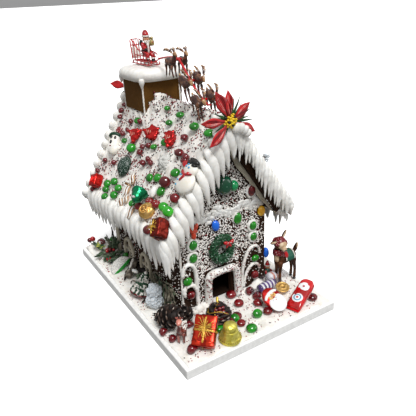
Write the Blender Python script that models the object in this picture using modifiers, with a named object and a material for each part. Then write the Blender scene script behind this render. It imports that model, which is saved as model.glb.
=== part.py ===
"""A gingerbread house on its white cake board.

The origin is the centre of the board's underside. +Z is up, the ridge runs along Y and the
gable with the door faces -Y. Left means -X.
"""

import math

import bmesh
import bpy
from mathutils import Matrix, Vector

MM = 0.001
GAP = 0.3  # air between two touching pieces, mm

# Driving sizes, in millimetres.
BOARD = (250.0, 386.0, 14.0)
SNOW_THICK, SNOW_INSET = 2.2, 6.0
GROUND = BOARD[2] + GAP + SNOW_THICK  # the top of the snow on the board
HOUSE_HALF = 72.5
FRONT, BACK = -94.0, 137.0
WALL = 8.0
RISE = 1.49  # of the roof, for each millimetre across
RIDGE_UNDER = 262.0  # where the undersides of the two roof panels meet
PANEL = 8.0
PITCH = math.atan(RISE)
DOOR = (-26.0, 11.0, 61.0)  # its left and right edges and its top

# The outer face of the snow on the roof: a level ridge, and eaves that sag to the back.
RIDGE = 297.0
EAVE_FRONT, EAVE_BACK = (106.0, 152.0), (110.0, 133.0)  # x and z
ROOF_FRONT, ROOF_BACK = -110.0, 181.0  # along the ridge
BACK_SLANT = 25.0  # how much sooner the roof ends at the eaves

CHIMNEY_X, CHIMNEY_Y = (-26.0, 41.0), (78.0, 149.0)
CHIMNEY_TOP, CHIMNEY_WALL = 314.0, 6.0
CAP_TOP = 334.0

COLOURS = {
    # name: colour, roughness, metallic
    "cake_board": ((0.80, 0.82, 0.85), 0.5, 0.0),
    "royal_icing": ((0.92, 0.91, 0.87), 0.6, 0.0),
    "gingerbread": ((0.13, 0.06, 0.025), 0.8, 0.0),
    "red_candy": ((0.38, 0.01, 0.02), 0.25, 0.0),
    "red_foil": ((0.60, 0.02, 0.02), 0.3, 0.6),
    "maroon_foil": ((0.25, 0.01, 0.01), 0.3, 0.6),
    "gold_foil": ((0.75, 0.45, 0.12), 0.3, 0.8),
    "yellow_foil": ((0.72, 0.60, 0.12), 0.35, 0.7),
    "teal_foil": ((0.0, 0.25, 0.14), 0.3, 0.6),
    "green_jelly": ((0.01, 0.16, 0.07), 0.4, 0.0),
    "green_plastic": ((0.02, 0.12, 0.05), 0.6, 0.0),
    "brown_plastic": ((0.12, 0.05, 0.03), 0.5, 0.0),
    "red_plastic": ((0.55, 0.02, 0.03), 0.35, 0.0),
    "petal_cloth": ((0.55, 0.01, 0.02), 0.7, 0.0),
    "cone_wood": ((0.07, 0.04, 0.03), 0.85, 0.0),
    "grey_wood": ((0.35, 0.30, 0.24), 0.85, 0.0),
    "clear_wrap": ((0.75, 0.70, 0.78), 0.15, 0.0),
}


def collection(name):
    made = bpy.data.collections.new(name)
    bpy.context.scene.collection.children.link(made)
    return made


def material(name):
    found = bpy.data.materials.get(name)
    if found:
        return found
    made = bpy.data.materials.new(name)
    made.use_nodes = True
    colour, roughness, metallic = COLOURS[name]
    made.diffuse_color = (*colour, 1.0)
    shader = made.node_tree.nodes["Principled BSDF"]
    shader.inputs["Base Color"].default_value = (*colour, 1.0)
    shader.inputs["Roughness"].default_value = roughness
    shader.inputs["Metallic"].default_value = metallic
    return made


def at(x, y, z, turn=0.0, tip=0.0, roll=0.0):
    """A place in millimetres: tipped about X, rolled about Y, then turned about Z (degrees)."""
    spin = Matrix.Rotation(math.radians(turn), 4, "Z")
    spin @= Matrix.Rotation(math.radians(roll), 4, "Y") @ Matrix.Rotation(math.radians(tip), 4, "X")
    return Matrix.Translation(Vector((x, y, z)) * MM) @ spin


def in_metres(mesh):
    mesh.transform(Matrix.Scale(MM, 4))


def keep(name, mesh, mat, place=None, smooth=True):
    """Put a finished mesh, in metres, into the house as the object of that name."""
    obj = bpy.data.objects.new(name, mesh)
    mesh.materials.clear()
    mesh.materials.append(material(mat))
    if smooth:
        mesh.shade_smooth()
        mesh.set_sharp_from_angle(angle=math.radians(40))
    house.objects.link(obj)
    obj.matrix_world = place or Matrix.Identity(4)
    return obj


def mesh_from(bm):
    """Turn a bmesh in millimetres into a mesh in metres, with its faces pointing out."""
    bmesh.ops.recalc_face_normals(bm, faces=bm.faces[:])
    mesh = bpy.data.meshes.new("shape")
    bm.to_mesh(mesh)
    bm.free()
    in_metres(mesh)
    return mesh


def box_mesh(size, bevel=0.0):
    bm = bmesh.new()
    bmesh.ops.create_cube(bm, size=1.0)
    bmesh.ops.scale(bm, vec=size, verts=bm.verts[:])
    if bevel:
        bmesh.ops.bevel(
            bm, geom=bm.edges[:], offset=bevel, segments=1, profile=0.5, affect="EDGES"
        )
    return mesh_from(bm)


def ball_mesh(size, around=10, up=6):
    bm = bmesh.new()
    bmesh.ops.create_uvsphere(bm, u_segments=around, v_segments=up, radius=0.5)
    bmesh.ops.scale(bm, vec=size, verts=bm.verts[:])
    return mesh_from(bm)


def cone_mesh(low, high, depth, around=8):
    bm = bmesh.new()
    bmesh.ops.create_cone(
        bm, cap_ends=True, segments=around, radius1=low, radius2=high, depth=depth
    )
    return mesh_from(bm)


def slab_mesh(outline, thick, round_by=0.0):
    """A flat outline of (x, y) points, extruded about its own plane; its edge can be rounded."""
    curve = bpy.data.curves.new("outline", "CURVE")
    curve.dimensions = "2D"
    curve.fill_mode = "BOTH"
    curve.extrude = (thick / 2 - round_by) * MM
    curve.bevel_depth = round_by * MM
    curve.offset = -round_by * MM
    curve.bevel_resolution = 0
    spline = curve.splines.new("POLY")
    spline.points.add(len(outline) - 1)
    for point, (x, y) in zip(spline.points, outline):
        point.co = (x * MM, y * MM, 0.0, 1.0)
    spline.use_cyclic_u = True
    return welded_mesh(curve)


def tube_mesh(path, radius, sides=2):
    """A round bar along (x, y, z) points, with filled ends."""
    curve = bpy.data.curves.new("path", "CURVE")
    curve.dimensions = "3D"
    curve.bevel_depth = radius * MM
    curve.bevel_resolution = sides
    curve.use_fill_caps = True
    spline = curve.splines.new("POLY")
    spline.points.add(len(path) - 1)
    for point, co in zip(spline.points, path):
        point.co = (*(Vector(co) * MM), 1.0)
    return welded_mesh(curve)


def welded_mesh(curve):
    helper = bpy.data.objects.new("helper", curve)
    house.objects.link(helper)
    graph = bpy.context.evaluated_depsgraph_get()
    mesh = bpy.data.meshes.new_from_object(helper.evaluated_get(graph))
    bpy.data.objects.remove(helper)
    bm = bmesh.new()
    bm.from_mesh(mesh)
    bmesh.ops.remove_doubles(bm, verts=bm.verts[:], dist=1e-5)
    bmesh.ops.recalc_face_normals(bm, faces=bm.faces[:])
    bm.to_mesh(mesh)
    bm.free()
    return mesh


def fused_mesh(pieces):
    """Union (mesh, place) pairs into one closed mesh."""
    helpers = []
    for mesh, place in pieces:
        helper = bpy.data.objects.new("helper", mesh)
        cutters.objects.link(helper)
        helper.matrix_world = place
        helpers.append(helper)
    first = helpers[0]
    for other in helpers[1:]:
        union = first.modifiers.new("union", "BOOLEAN")
        union.operation = "UNION"
        union.solver = "EXACT"
        union.object = other
    graph = bpy.context.evaluated_depsgraph_get()
    mesh = bpy.data.meshes.new_from_object(first.evaluated_get(graph))
    mesh.transform(first.matrix_world)
    for helper in helpers:
        bpy.data.objects.remove(helper)
    return mesh


def lofted_mesh(rings):
    """Join rings of equal length, in millimetres, and close both ends."""
    bm = bmesh.new()
    rows = [[bm.verts.new(co) for co in ring] for ring in rings]
    for near, far in zip(rows, rows[1:]):
        for i in range(len(near)):
            j = (i + 1) % len(near)
            bm.faces.new((near[i], near[j], far[j], far[i]))
    bm.faces.new(rows[0])
    bm.faces.new(rows[-1])
    return mesh_from(bm)


def limb(start, end, low, high, around=5):
    """A tapered bar between two points, as a (mesh, place) pair for fused_mesh."""
    start, end = Vector(start), Vector(end)
    way = end - start
    place = way.to_track_quat("Z", "Y").to_matrix().to_4x4()
    place.translation = (start + end) / 2 * MM
    return cone_mesh(low, high, way.length, around), place


def turned(name, profile, steps, mat, place):
    """Turn an (r, z) profile that runs from the top of the axis to its foot about Z."""
    mesh = bpy.data.meshes.new(name)
    points = [(r * MM, 0.0, z * MM) for r, z in profile]
    mesh.from_pydata(points, [(i, i + 1) for i in range(len(points) - 1)], [])
    obj = keep(name, mesh, mat, place, smooth=False)
    screw = obj.modifiers.new("turn", "SCREW")
    screw.axis = "Z"
    screw.steps = screw.render_steps = steps
    screw.use_merge_vertices = True
    screw.merge_threshold = 1e-5
    screw.use_smooth_shade = True
    return obj


def mirror_mesh(mesh):
    """The other hand of a mesh, across the plane of the ridge."""
    other = mesh.copy()
    other.transform(Matrix.Scale(-1.0, 4, (1.0, 0.0, 0.0)))
    other.flip_normals()
    return other


def eave(y):
    """How far out and how high the snow's lip is at y."""
    part = (y + 118.0) / 278.0
    return tuple(a + (b - a) * part for a, b in zip(EAVE_FRONT, EAVE_BACK))


def roof_z(x, y):
    out, low = eave(y)
    return RIDGE - abs(x) / out * (RIDGE - low)


def slope_at(y):
    out, low = eave(y)
    return math.atan2(RIDGE - low, out)


def on_roof(x, y, lift=0.0, turn=0.0, tip=0.0):
    """A frame on the left slope: X to the front gable, Y up the slope, Z out of the snow."""
    pitch = slope_at(y)
    cos, sin = math.cos(pitch), math.sin(pitch)
    frame = Matrix(((0, cos, -sin, 0), (-1, 0, 0, 0), (0, sin, cos, 0), (0, 0, 0, 1)))
    spin = Matrix.Rotation(math.radians(turn), 4, "Z") @ Matrix.Rotation(math.radians(tip), 4, "X")
    foot = Vector((x, y, roof_z(x, y))) + Vector((-sin, 0, cos)) * (lift + 2 * GAP)
    return Matrix.Translation(foot * MM) @ frame @ spin


def on_front(x, z, lift=0.0):
    """A frame on the front wall: X to the right, Y up, Z out of the wall."""
    frame = Matrix(((1, 0, 0, 0), (0, 0, -1, 0), (0, 1, 0, 0), (0, 0, 0, 1)))
    return Matrix.Translation(Vector((x, FRONT - GAP - lift, z)) * MM) @ frame


def board():
    width, length, thick = BOARD
    keep("cake_board", box_mesh(BOARD, bevel=0.8), "cake_board", at(0, 0, thick / 2), smooth=False)
    outline = []
    half = (width / 2 - SNOW_INSET, length / 2 - SNOW_INSET)
    count = 40
    for i in range(count):
        turn = math.tau * (i + 0.5) / count
        cos, sin = math.cos(turn), math.sin(turn)
        reach = (abs(cos) ** 14 + abs(sin) ** 14) ** (-1 / 14)  # a square with round corners
        wave = 1.0 - 0.006 * math.sin(5 * turn) - 0.006 * math.cos(9 * turn)
        outline.append((half[0] * reach * cos * wave, half[1] * reach * sin * wave))
    snow = slab_mesh(outline, SNOW_THICK)
    keep("board_icing", snow, "royal_icing", at(0, 0, BOARD[2] + GAP + SNOW_THICK / 2))


def walls():
    foot = GROUND + GAP
    tip = RIDGE_UNDER - 2 * GAP
    shoulder = tip - HOUSE_HALF * RISE
    gable = [(HOUSE_HALF, foot), (HOUSE_HALF, shoulder), (0, tip), (-HOUSE_HALF, shoulder)]
    gable.append((-HOUSE_HALF, foot))
    left, right, top = DOOR
    door = [(left, foot), (left, top), (right, top), (right, foot)]
    for name, outline, y in (("wall_front", gable + door, FRONT), ("wall_back", gable, BACK - WALL)):
        frame = Matrix(((1, 0, 0, 0), (0, 0, -1, (y + WALL / 2) * MM), (0, 1, 0, 0), (0, 0, 0, 1)))
        keep(name, slab_mesh(outline, WALL), "gingerbread", frame, smooth=False)
    length = BACK - FRONT - 2 * WALL - 2 * GAP
    height = shoulder - GAP - foot
    side = box_mesh((WALL, length, height))
    middle = (FRONT + BACK) / 2
    for name, sign in (("wall_left", -1), ("wall_right", 1)):
        place = at(sign * (HOUSE_HALF - WALL / 2), middle, foot + height / 2)
        keep(name, side.copy(), "gingerbread", place, smooth=False)


def down_frame():
    """A frame in the underside of the left panel: X along +Y, Y down the slope, Z outward."""
    cos, sin = math.cos(PITCH), math.sin(PITCH)
    frame = Matrix(((0, -cos, -sin, 0), (1, 0, 0, 0), (0, -sin, cos, 0), (0, 0, 0, 1)))
    return Matrix.Translation((0, 0, RIDGE_UNDER * MM)) @ frame


def roof_panels():
    top, front, back = 0.3, ROOF_FRONT + 1, ROOF_BACK - 3
    outline = [(front, top), (front, 148), (back - BACK_SLANT + 2, 165), (back, top)]
    left = slab_mesh(outline, PANEL)
    left.transform(down_frame() @ Matrix.Translation((0, 0, PANEL / 2 * MM)))
    keep("roof_left", left, "gingerbread", smooth=False)
    keep("roof_right", mirror_mesh(left), "gingerbread", smooth=False)


def roof_back(part):
    """Where the snow ends at the back, for the part of the way down from ridge to eave."""
    return ROOF_BACK - BACK_SLANT * part


def roof_snow():
    """One blanket over both slopes, from the panels' faces out to the snow's own face."""
    across, along = 14, 6
    half = across // 2
    bm = bmesh.new()
    bmesh.ops.create_grid(bm, x_segments=across, y_segments=along, size=1.0)
    inner = bm.verts[:]
    grown = bmesh.ops.extrude_face_region(bm, geom=bm.faces[:])["geom"]
    outer = [v for v in grown if isinstance(v, bmesh.types.BMVert)]
    under = down_frame()
    for verts, skin in ((inner, False), (outer, True)):
        for vert in verts:
            side, part = math.copysign(1, vert.co.x), abs(vert.co.x)
            y = ROOF_FRONT + (roof_back(part) - ROOF_FRONT) * (vert.co.y + 1) / 2
            out, low = eave(y)
            if skin:
                soft = 3.0 * max(0.0, 1.0 - part * half) ** 2  # the ridge is blunt
                vert.co = (side * part * out, y, RIDGE - part * (RIDGE - low) - soft)
                continue
            if part < 1e-4:
                vert.co = (0, y, RIDGE_UNDER + PANEL * math.cos(PITCH) + 2 * GAP)
                continue
            reach = (part - 1 / half) / (1 - 1 / half) * (150.4 + 18.3 * (y + 118) / 278)
            foot = under @ (Vector((y, reach, PANEL + 1.5 * GAP)) * MM) / MM
            vert.co = (-side * foot.x, y, foot.z)
    keep("roof_icing", mesh_from(bm), "royal_icing")


def teeth(count, short, long, seed):
    """Lengths of alternating valleys and tips, uneven but the same on every run."""
    for i in range(2 * count + 1):
        if i % 2 == 0:
            yield i / (2 * count), short
        else:
            sway = 0.5 + 0.5 * math.sin(2.4 * i + seed)
            yield i / (2 * count), short + (long - short) * (0.45 + 0.55 * sway)


def eave_icicles():
    """The lip of the eaves: snow turned over the edge, with icicles hanging from it."""
    rings = []
    for part, drop in teeth(18, 24.0, 56.0, 1.0):
        y = ROOF_FRONT + 1 + (roof_back(1.0) - ROOF_FRONT - 3) * part
        out, low = eave(y)
        drop *= 1.0 - 0.22 * part
        rings.append(
            [
                (-out + 17.5, y, low - 14.0),
                (-out - 0.8, y, low - 1.6),
                (-out - 3.0, y, low - 8.0),
                (-out + 1.0, y, low - drop),
                (-out + 9.0, y, low - 18.5),
            ]
        )
    left = lofted_mesh(rings)
    keep("icicles_left", left, "royal_icing")
    keep("icicles_right", mirror_mesh(left), "royal_icing")


def front_rakes():
    """Fat piped strokes down the front edges of the roof, each ending in a hanging tip."""
    for name, sign, count, long in (
        ("rake_icing_left", -1, 12, 60.0),
        ("rake_icing_right", 1, 12, 56.0),
    ):
        rings = []
        face = ROOF_FRONT - GAP
        for part, drop in teeth(count, 33.0, long, 3.0 * sign):
            x = sign * (0.4 + (EAVE_FRONT[0] + 1) * part)
            top = roof_z(x, ROOF_FRONT) + 1.0
            bulge = (14.0 if drop > 33.0 else 10.5) - (5.0 if abs(x) < 9.0 else 0.0)
            rings.append(
                [
                    (x, face, top),
                    (x, face - bulge + 4, top + 1.5),
                    (x, face - bulge, top - 13.0),
                    (x, face - 0.6 * bulge, top - drop),
                    (x, face, top - 27.0),
                ]
            )
        keep(name, lofted_mesh(rings), "royal_icing")


def back_shells():
    """A row of piped shells along the back edges of both slopes."""
    count = 9
    rings = []
    for i in range(-2 * count, 2 * count + 1):
        part = abs(i) / (2 * count)
        face = roof_back(part) + GAP
        out, low = eave(face)
        x = math.copysign(part * out, i)
        fat = (1.0 if i % 2 else 0.72) * (0.55 if abs(i) < 2 else 1.0)
        top = RIDGE - part * (RIDGE - low) - 3.0
        rings.append(
            [
                (x, face, top + 3.0 * fat),
                (x, face + 9.0 * fat, top + 1.0),
                (x, face + 11.0 * fat, top - 9.0),
                (x, face + 6.0 * fat, top - 19.0 * fat),
                (x, face, top - 20.0 * fat),
            ]
        )
    keep("shell_border_back", lofted_mesh(rings), "royal_icing")


def chimney():
    (left, right), (front, back) = CHIMNEY_X, CHIMNEY_Y
    clear = 2 * GAP
    # Side panels: their feet follow the roof from front to back.
    for name, x0 in (("chimney_left", left), ("chimney_right", right - CHIMNEY_WALL)):
        near = min(abs(x0), abs(x0 + CHIMNEY_WALL))
        outline = [(y, roof_z(near, y) + clear) for y in (front, back)]
        outline += [(back, CHIMNEY_TOP), (front, CHIMNEY_TOP)]
        frame = Matrix(((0, 0, 1, (x0 + CHIMNEY_WALL / 2) * MM), (1, 0, 0, 0), (0, 1, 0, 0), (0, 0, 0, 1)))
        keep(name, slab_mesh(outline, CHIMNEY_WALL), "gingerbread", frame, smooth=False)
    # Front and back panels: notched to sit astride the ridge.
    inner_left, inner_right = left + CHIMNEY_WALL + GAP, right - CHIMNEY_WALL - GAP
    for name, y0 in (("chimney_front", front + 1), ("chimney_back", back - 1 - CHIMNEY_WALL)):
        outline = [(x, roof_z(x, y0) + clear) for x in (inner_left, 0.0, inner_right)]
        outline += [(inner_right, CHIMNEY_TOP), (inner_left, CHIMNEY_TOP)]
        frame = Matrix(((1, 0, 0, 0), (0, 0, -1, (y0 + CHIMNEY_WALL / 2) * MM), (0, 1, 0, 0), (0, 0, 0, 1)))
        keep(name, slab_mesh(outline, CHIMNEY_WALL), "gingerbread", frame, smooth=False)
    # The cap: a puffy pillow of icing that laps over the edges.
    foot = CHIMNEY_TOP + GAP
    middle = ((left + right) / 2, (front + back) / 2)
    rings = []
    for height, grow in ((0.0, 4.0), (5.0, 7.0), (12.0, 7.0), (17.5, 2.5), (19.7, -8.0)):
        ring = []
        for i in range(16):
            turn = math.tau * i / 16
            cos, sin = math.cos(turn), math.sin(turn)
            reach = (abs(cos) ** 5 + abs(sin) ** 5) ** -0.2
            half_x, half_y = (right - left) / 2 + grow, (back - front) / 2 + grow
            ring.append((middle[0] + half_x * reach * cos, middle[1] + half_y * reach * sin, foot + height))
        rings.append(ring)
    keep("chimney_cap", lofted_mesh(rings), "royal_icing")


def front_wall_pieces():
    # The thick rope of icing around the door.
    left, right, top = DOOR
    r = 5.6
    path = [
        (left - r - 1, GROUND + GAP + 0.1, r),
        (left - r - 1, top - 1, r),
        (left - 1, top + r + 1.5, r),
        (right + 1, top + r - 1, r),
        (right + r + 1, top - 4, r),
        (right + r + 1, GROUND + GAP + 0.1, r),
    ]
    keep("door_frame", tube_mesh(path, r), "royal_icing", on_front(0, 0, GAP))
    # The wreath over the door.
    bpy.ops.mesh.primitive_torus_add(
        major_segments=20, minor_segments=7, major_radius=14.0, minor_radius=7.2
    )
    torus = bpy.context.object
    bm = bmesh.new()
    bm.from_mesh(torus.data)
    bpy.data.objects.remove(torus)
    for i, vert in enumerate(bm.verts):  # every other point stands out, as tufts do
        vert.co *= (1.09 if i % 2 else 0.97) * (1.0 if vert.co.xy.length > 12 else 0.96)
    bmesh.ops.scale(bm, vec=(1.0, 1.12, 0.8), verts=bm.verts[:])
    keep("wreath", mesh_from(bm), "green_jelly", on_front(-8.0, 104.0, 6.8))
    # Two green jelly lumps run together in the gable.
    lumps = [
        (ball_mesh((24, 28, 12), 12), at(-4, 0, 6.2)),
        (ball_mesh((15, 16, 10)), at(11, -4, 5.2)),
    ]
    keep("jelly_gable", fused_mesh(lumps), "green_jelly", on_front(-2, 197))


def sleigh_and_rider():
    # Two openwork sides, a floor and a high back, all in one moulding.
    half, seat = 10.0, CAP_TOP + 0.9
    profile = [(0, 7), (6, 7.5), (17, 8.5), (30, 11), (44, 19), (52, 31), (62, 36), (63, 33)]
    profile += [(58, 8), (66, 1), (60, 0), (4, 0), (-4, 3), (-3, 9)]
    side = slab_mesh([(y, z) for y, z in profile], 1.6)
    upright = Matrix(((0, 0, 1, 0), (1, 0, 0, 0), (0, 1, 0, 0), (0, 0, 0, 1)))
    pieces = [
        (side, at(-half, 0, 0) @ upright),
        (side.copy(), at(half, 0, 0) @ upright),
        (box_mesh((2 * half, 50, 1.6)), at(0, 30, 6.5)),
        (box_mesh((2 * half, 1.6, 26)), at(0, 59.5, 18, tip=-8)),
    ]
    keep("sleigh", fused_mesh(pieces), "red_plastic", at(3.0, 84.0, seat), smooth=False)
    rider = [
        (cone_mesh(7.6, 5.0, 19), at(0, 0, 11)),
        (ball_mesh((10.5, 10.5, 11), 8), at(0, -0.5, 25.5)),
        (cone_mesh(5.2, 0.9, 12), at(0, 1.0, 35, tip=-12)),
        limb((-3.5, 0, 20), (-6.5, -8, 12), 3.2, 2.6),
        limb((3.5, 0, 20), (6.5, -8, 12), 3.2, 2.6),
        (box_mesh((7, 11, 5)), at(0, -6, 4)),
        (ball_mesh((8, 7.5, 11), 8), at(5.4, 3.0, 22)),
    ]
    keep("rider", fused_mesh(rider), "red_candy", at(2.2, 102.0, seat + 8.3))


def reindeer_mesh():
    """A leaping plastic reindeer, nose to -Y; the origin is at the middle of its body."""
    pieces = [
        (ball_mesh((7.4, 24, 9), 8, 5), at(0, 0, 0, tip=-6)),
        limb((0, -7.5, -1), (0, -14.0, 12.5), 3.2, 2.1),
        (ball_mesh((5.0, 11, 5.6), 6, 3), at(0, -15.5, 13, tip=18)),
    ]
    for sign in (-1, 1):
        pieces.append(limb((sign * 2.1, 8, -1), (sign * 2.5, 12.0, -18), 2.2, 0.9))
        pieces.append(limb((sign * 2.1, -8, -1), (sign * 2.5, -7.0, -17.5), 2.0, 0.9))
        pieces.append(limb((sign * 1.1, -12, 13), (sign * 5.6, -8.0, 24), 1.0, 0.7, 4))
    return fused_mesh(pieces)


def reindeer_team():
    deer = reindeer_mesh()
    pairs = (
        (((-12, 7, 349), 6.0), ((12.5, 14, 347), 8.0)),
        (((-12, -26, 323.5), 14.0), ((12, -23, 326), 12.0)),
        (((-12, -58, 302.5), 14.0), ((12, -55, 306), 16.0)),
    )
    for i, pair in enumerate(pairs):
        for hand, turn, (spot, tip) in zip(("left", "right"), (4, -4), pair):
            name = f"reindeer_{hand}_{i + 1}"
            keep(name, deer.copy(), "brown_plastic", at(*spot, tip=tip, turn=turn))
    # The shaft between the two files, with a crossbar at each pair.
    path = [(5, 80, 345), (4, 52, 350), (2, 16, 353), (1, 6, 350), (0.6, -9, 338), (0.3, -20, 327)]
    path += [(0, -48, 307), (0, -66, 299.4)]
    pieces = [(tube_mesh(path, 1.1, 1), Matrix.Identity(4))]
    for y, z in ((10.5, 350.5), (-22, 325.0), (-53, 304.2)):
        pieces.append((box_mesh((14.6, 2.0, 3.4)), at(0.4, y, z)))
    pieces.append((box_mesh((4.4, 7, 1.6)), at(0, -67, 299.4, tip=8)))
    keep("harness", fused_mesh(pieces), "red_plastic")


def poinsettia(name, place, petals):
    """A cloth flower: pointed petals, each tipped forward a little, about a button."""
    pieces = [(cone_mesh(6.0, 4.5, 5.0, 9), at(0, 0, 2.6))]
    for angle, length, width, lift in petals:
        half = [(0.0, 0.12), (0.5, 0.46), (0.78, 0.42)]
        outline = [(length * a, -width * b) for a, b in half] + [(length, 0.0)]
        outline += [(length * a, width * b) for a, b in reversed(half)]
        petal = at(0, 0, 1.6, turn=angle, roll=-lift)
        pieces.append((slab_mesh(outline, 1.2), petal))
    keep(name, fused_mesh(pieces), "petal_cloth", place)


def roof_toppings():
    # A piped snowman lying up the slope by the front edge.
    lumps = [
        (ball_mesh((27, 30, 9), 12), at(0, 0, 4.6)),
        (ball_mesh((18, 17, 8.5), 10), at(3, 20, 4.4)),
        (box_mesh((11, 7, 6), 1.5), at(5, 31, 4.2, turn=-12)),
    ]
    keep("snowman_icing", fused_mesh(lumps), "royal_icing", on_roof(-65, -88.5, turn=-26))
    # A pale oval face with a pointed red hat.
    lumps = [
        (ball_mesh((22, 34, 10), 12), at(0, 0, 5.2)),
        (slab_mesh([(-11, 9), (11, 9), (9, 18), (16, 24), (0, 25), (-8, 19)], 5), at(0, 2, 3.6)),
    ]
    keep("snowman_face", fused_mesh(lumps), "royal_icing", on_roof(-57, 128, turn=14))
    turned(
        "gumdrop_green",
        [(0, 11), (8, 9.5), (12.5, 5), (14.5, 0.6), (13, 0), (0, 0)],
        12, "green_jelly", on_roof(-70, 71) @ Matrix.Diagonal((0.82, 1.08, 1.0, 1.0)),
    )
    turned(
        "gumdrop_white",
        [(0, 9), (7, 8), (11, 4), (12.5, 0.6), (11.5, 0), (0, 0)],
        12, "royal_icing", on_roof(-52, -34),
    )
    keep("gift_red", box_mesh((19, 19, 15), 1.6), "red_foil", on_roof(-95, 128, 7.6, turn=12))
    keep("gift_maroon", box_mesh((22, 21, 17), 1.8), "maroon_foil", on_roof(-97.2, -98.5, 8.8, turn=18))
    bell = [(0, 17), (4.5, 16), (7, 12), (8, 6), (11, 1.5), (11, 0), (0, 0)]
    turned("bell_teal", bell, 12, "teal_foil", on_roof(-81, -17, 9.6, turn=35, tip=68))
    jug = [(0, 14), (6, 13.4), (10.5, 10), (11.5, 6), (9.5, 1.5), (7, 0), (0, 0)]
    turned("ornament_gold", jug, 12, "gold_foil", on_roof(-93, -49))
    # Foil sweets: a twisted kiss shape, a lumpy one and a stocking-like bell.
    kiss = [(0, 9), (4, 7.5), (9, 4), (10.5, 1), (9.5, 0), (0, 0)]
    turned("foil_sweet_1", kiss, 9, "red_foil", on_roof(-41, 80))
    turned("foil_sweet_2", kiss, 8, "red_foil", on_roof(-33, 40))
    boot = [(-7, 10), (4, 11), (6, 0), (3, -11), (-3, -11), (-6, -3)]
    keep("foil_sweet_3", slab_mesh(boot, 7, 1.5), "red_foil", on_roof(-32, -23, 3.6, turn=-14))


def ground_left():
    foot = GROUND + GAP
    # A cluster of sprigs and berries at the back corner of the house.
    pieces = [(ball_mesh((26, 30, 14), 8, 5), at(0, 0, 7))]
    for tip in ((20, 26, 17), (-20, -27, 6), (-8, 30, 19), (16, -22, 12), (-20, 10, 16)):
        pieces.append(limb((0, 0, 6), tip, 4.5, 1.8))
    keep("sprig_cluster", fused_mesh(pieces), "green_plastic", at(-96, 128, foot + 0.4))
    # Sugared fruit slice leaning against a stub of log.
    count = 12
    half = [(20 * math.cos(math.pi * i / count), 15 * math.sin(math.pi * i / count)) for i in range(count + 1)]
    keep("fruit_slice", slab_mesh(half, 9), "green_jelly", at(-94, 77, foot + 3.4, turn=-62, tip=58))
    keep("log", cone_mesh(5.5, 5.0, 34, 9), "grey_wood", at(-88, 38, foot + 5.6, turn=28, tip=90))
    # A small snowy tree on a base.
    fir = [(0, 38), (4, 30), (9, 24), (6.5, 23), (13, 13), (9.5, 12), (16, 3), (16, 0), (0, 0)]
    turned("snowy_tree", fir, 10, "green_plastic", at(-97, 0, foot))
    lumps = [
        (ball_mesh((24, 24, 24), 10, 6), at(0, 0, 12)),
        (ball_mesh((17, 17, 17), 10, 6), at(0, 0, 29)),
    ]
    keep("frosted_figure", fused_mesh(lumps), "royal_icing", at(-92, -48, foot))
    for name, size, place in (
        ("pine_cone_1", (35, 35, 42), at(-104, -107, foot + 20.6, turn=20, tip=24)),
        ("pine_cone_2", (25, 25, 30), at(-75.5, -110.5, foot + 14.4, turn=-30, tip=40)),
        ("pine_cone_3", (36, 36, 32), at(-43, -140, foot + 15.6)),
    ):
        keep(name, cone_scales(size), "cone_wood", place, smooth=False)
    pieces = [
        (ball_mesh((8, 20, 9), 8, 5), at(0, 0, 19)),
        limb((0, -6.5, 19), (0, -11.5, 37), 3.2, 1.9),
        (ball_mesh((5.4, 10, 6), 6, 4), at(0, -13, 38, tip=14)),
    ]
    for x in (-2.4, 2.4):
        for y in (-6.0, 6.0):
            pieces.append(limb((x, y, 18), (x, y, 0), 2.0, 1.3))
    keep("deer_small", fused_mesh(pieces), "red_candy", at(-101, -144, foot, turn=-20))


def cone_scales(size):
    """A pine cone: a ball whose rows of points are pulled out by turns, like open scales."""
    bm = bmesh.new()
    around, up = 14, 8
    bmesh.ops.create_uvsphere(bm, u_segments=around, v_segments=up, radius=0.5)
    for vert in bm.verts:
        turn = round(math.atan2(vert.co.y, vert.co.x) / math.tau * around)
        row = round((vert.co.z + 0.5) * up)
        if abs(vert.co.z) < 0.499:
            vert.co *= 1.0 if (turn + row) % 2 else 0.78
    bmesh.ops.scale(bm, vec=size, verts=bm.verts[:])
    return mesh_from(bm)


def ground_front():
    foot = GROUND + GAP
    keep("gift_orange", box_mesh((33, 44, 14), 1.6), "red_foil", at(-79, -165, foot + 18.6, turn=-32, tip=-34))
    bell = [(0, 29), (4.5, 28.5), (7, 25), (8, 20), (10, 12), (12.8, 4), (13.8, 0), (0, 0)]
    turned("bell_yellow", bell, 16, "yellow_foil", at(-47, -178.4, foot + 0.9, turn=-25, tip=3))
    # A moulded chocolate face, leaning back.
    face = [(0, -25), (8, -21), (14, -12), (17, 0), (15, 12), (9, 21), (0, 25)]
    face += [(-x, y) for x, y in face[-2:0:-1]]
    keep("chocolate_face", slab_mesh(face, 12, 3.5), "red_foil", at(40, -163, foot + 18.5, turn=-14, tip=38))
    # A soft printed pack, leaning the other way.
    pack = [(-11, -27), (11, -27), (11.5, 10), (10, 21), (5, 26), (-5, 26), (-10, 21), (-11.5, 10)]
    keep("candy_pack", slab_mesh(pack, 12, 3.0), "red_plastic", at(82, -169, foot + 15.5, turn=-72, tip=16))
    # A sweet in clear film with twisted ends.
    bow = [(0, 27), (5.5, 27), (2.2, 17), (6.4, 14), (7.6, 6), (7.6, -6), (6.4, -14), (2.2, -17)]
    bow += [(5.5, -27), (0, -27)]
    turned("wrapped_candy", bow, 10, "clear_wrap", at(57, -120.5, foot + 7.9, turn=-66, tip=90))
    coin = cone_mesh(12.0, 12.0, 3.0, 20)
    keep("gold_coin", coin, "gold_foil", at(76, -141, foot + 10.6, turn=-30, tip=50))
    fawn()


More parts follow.
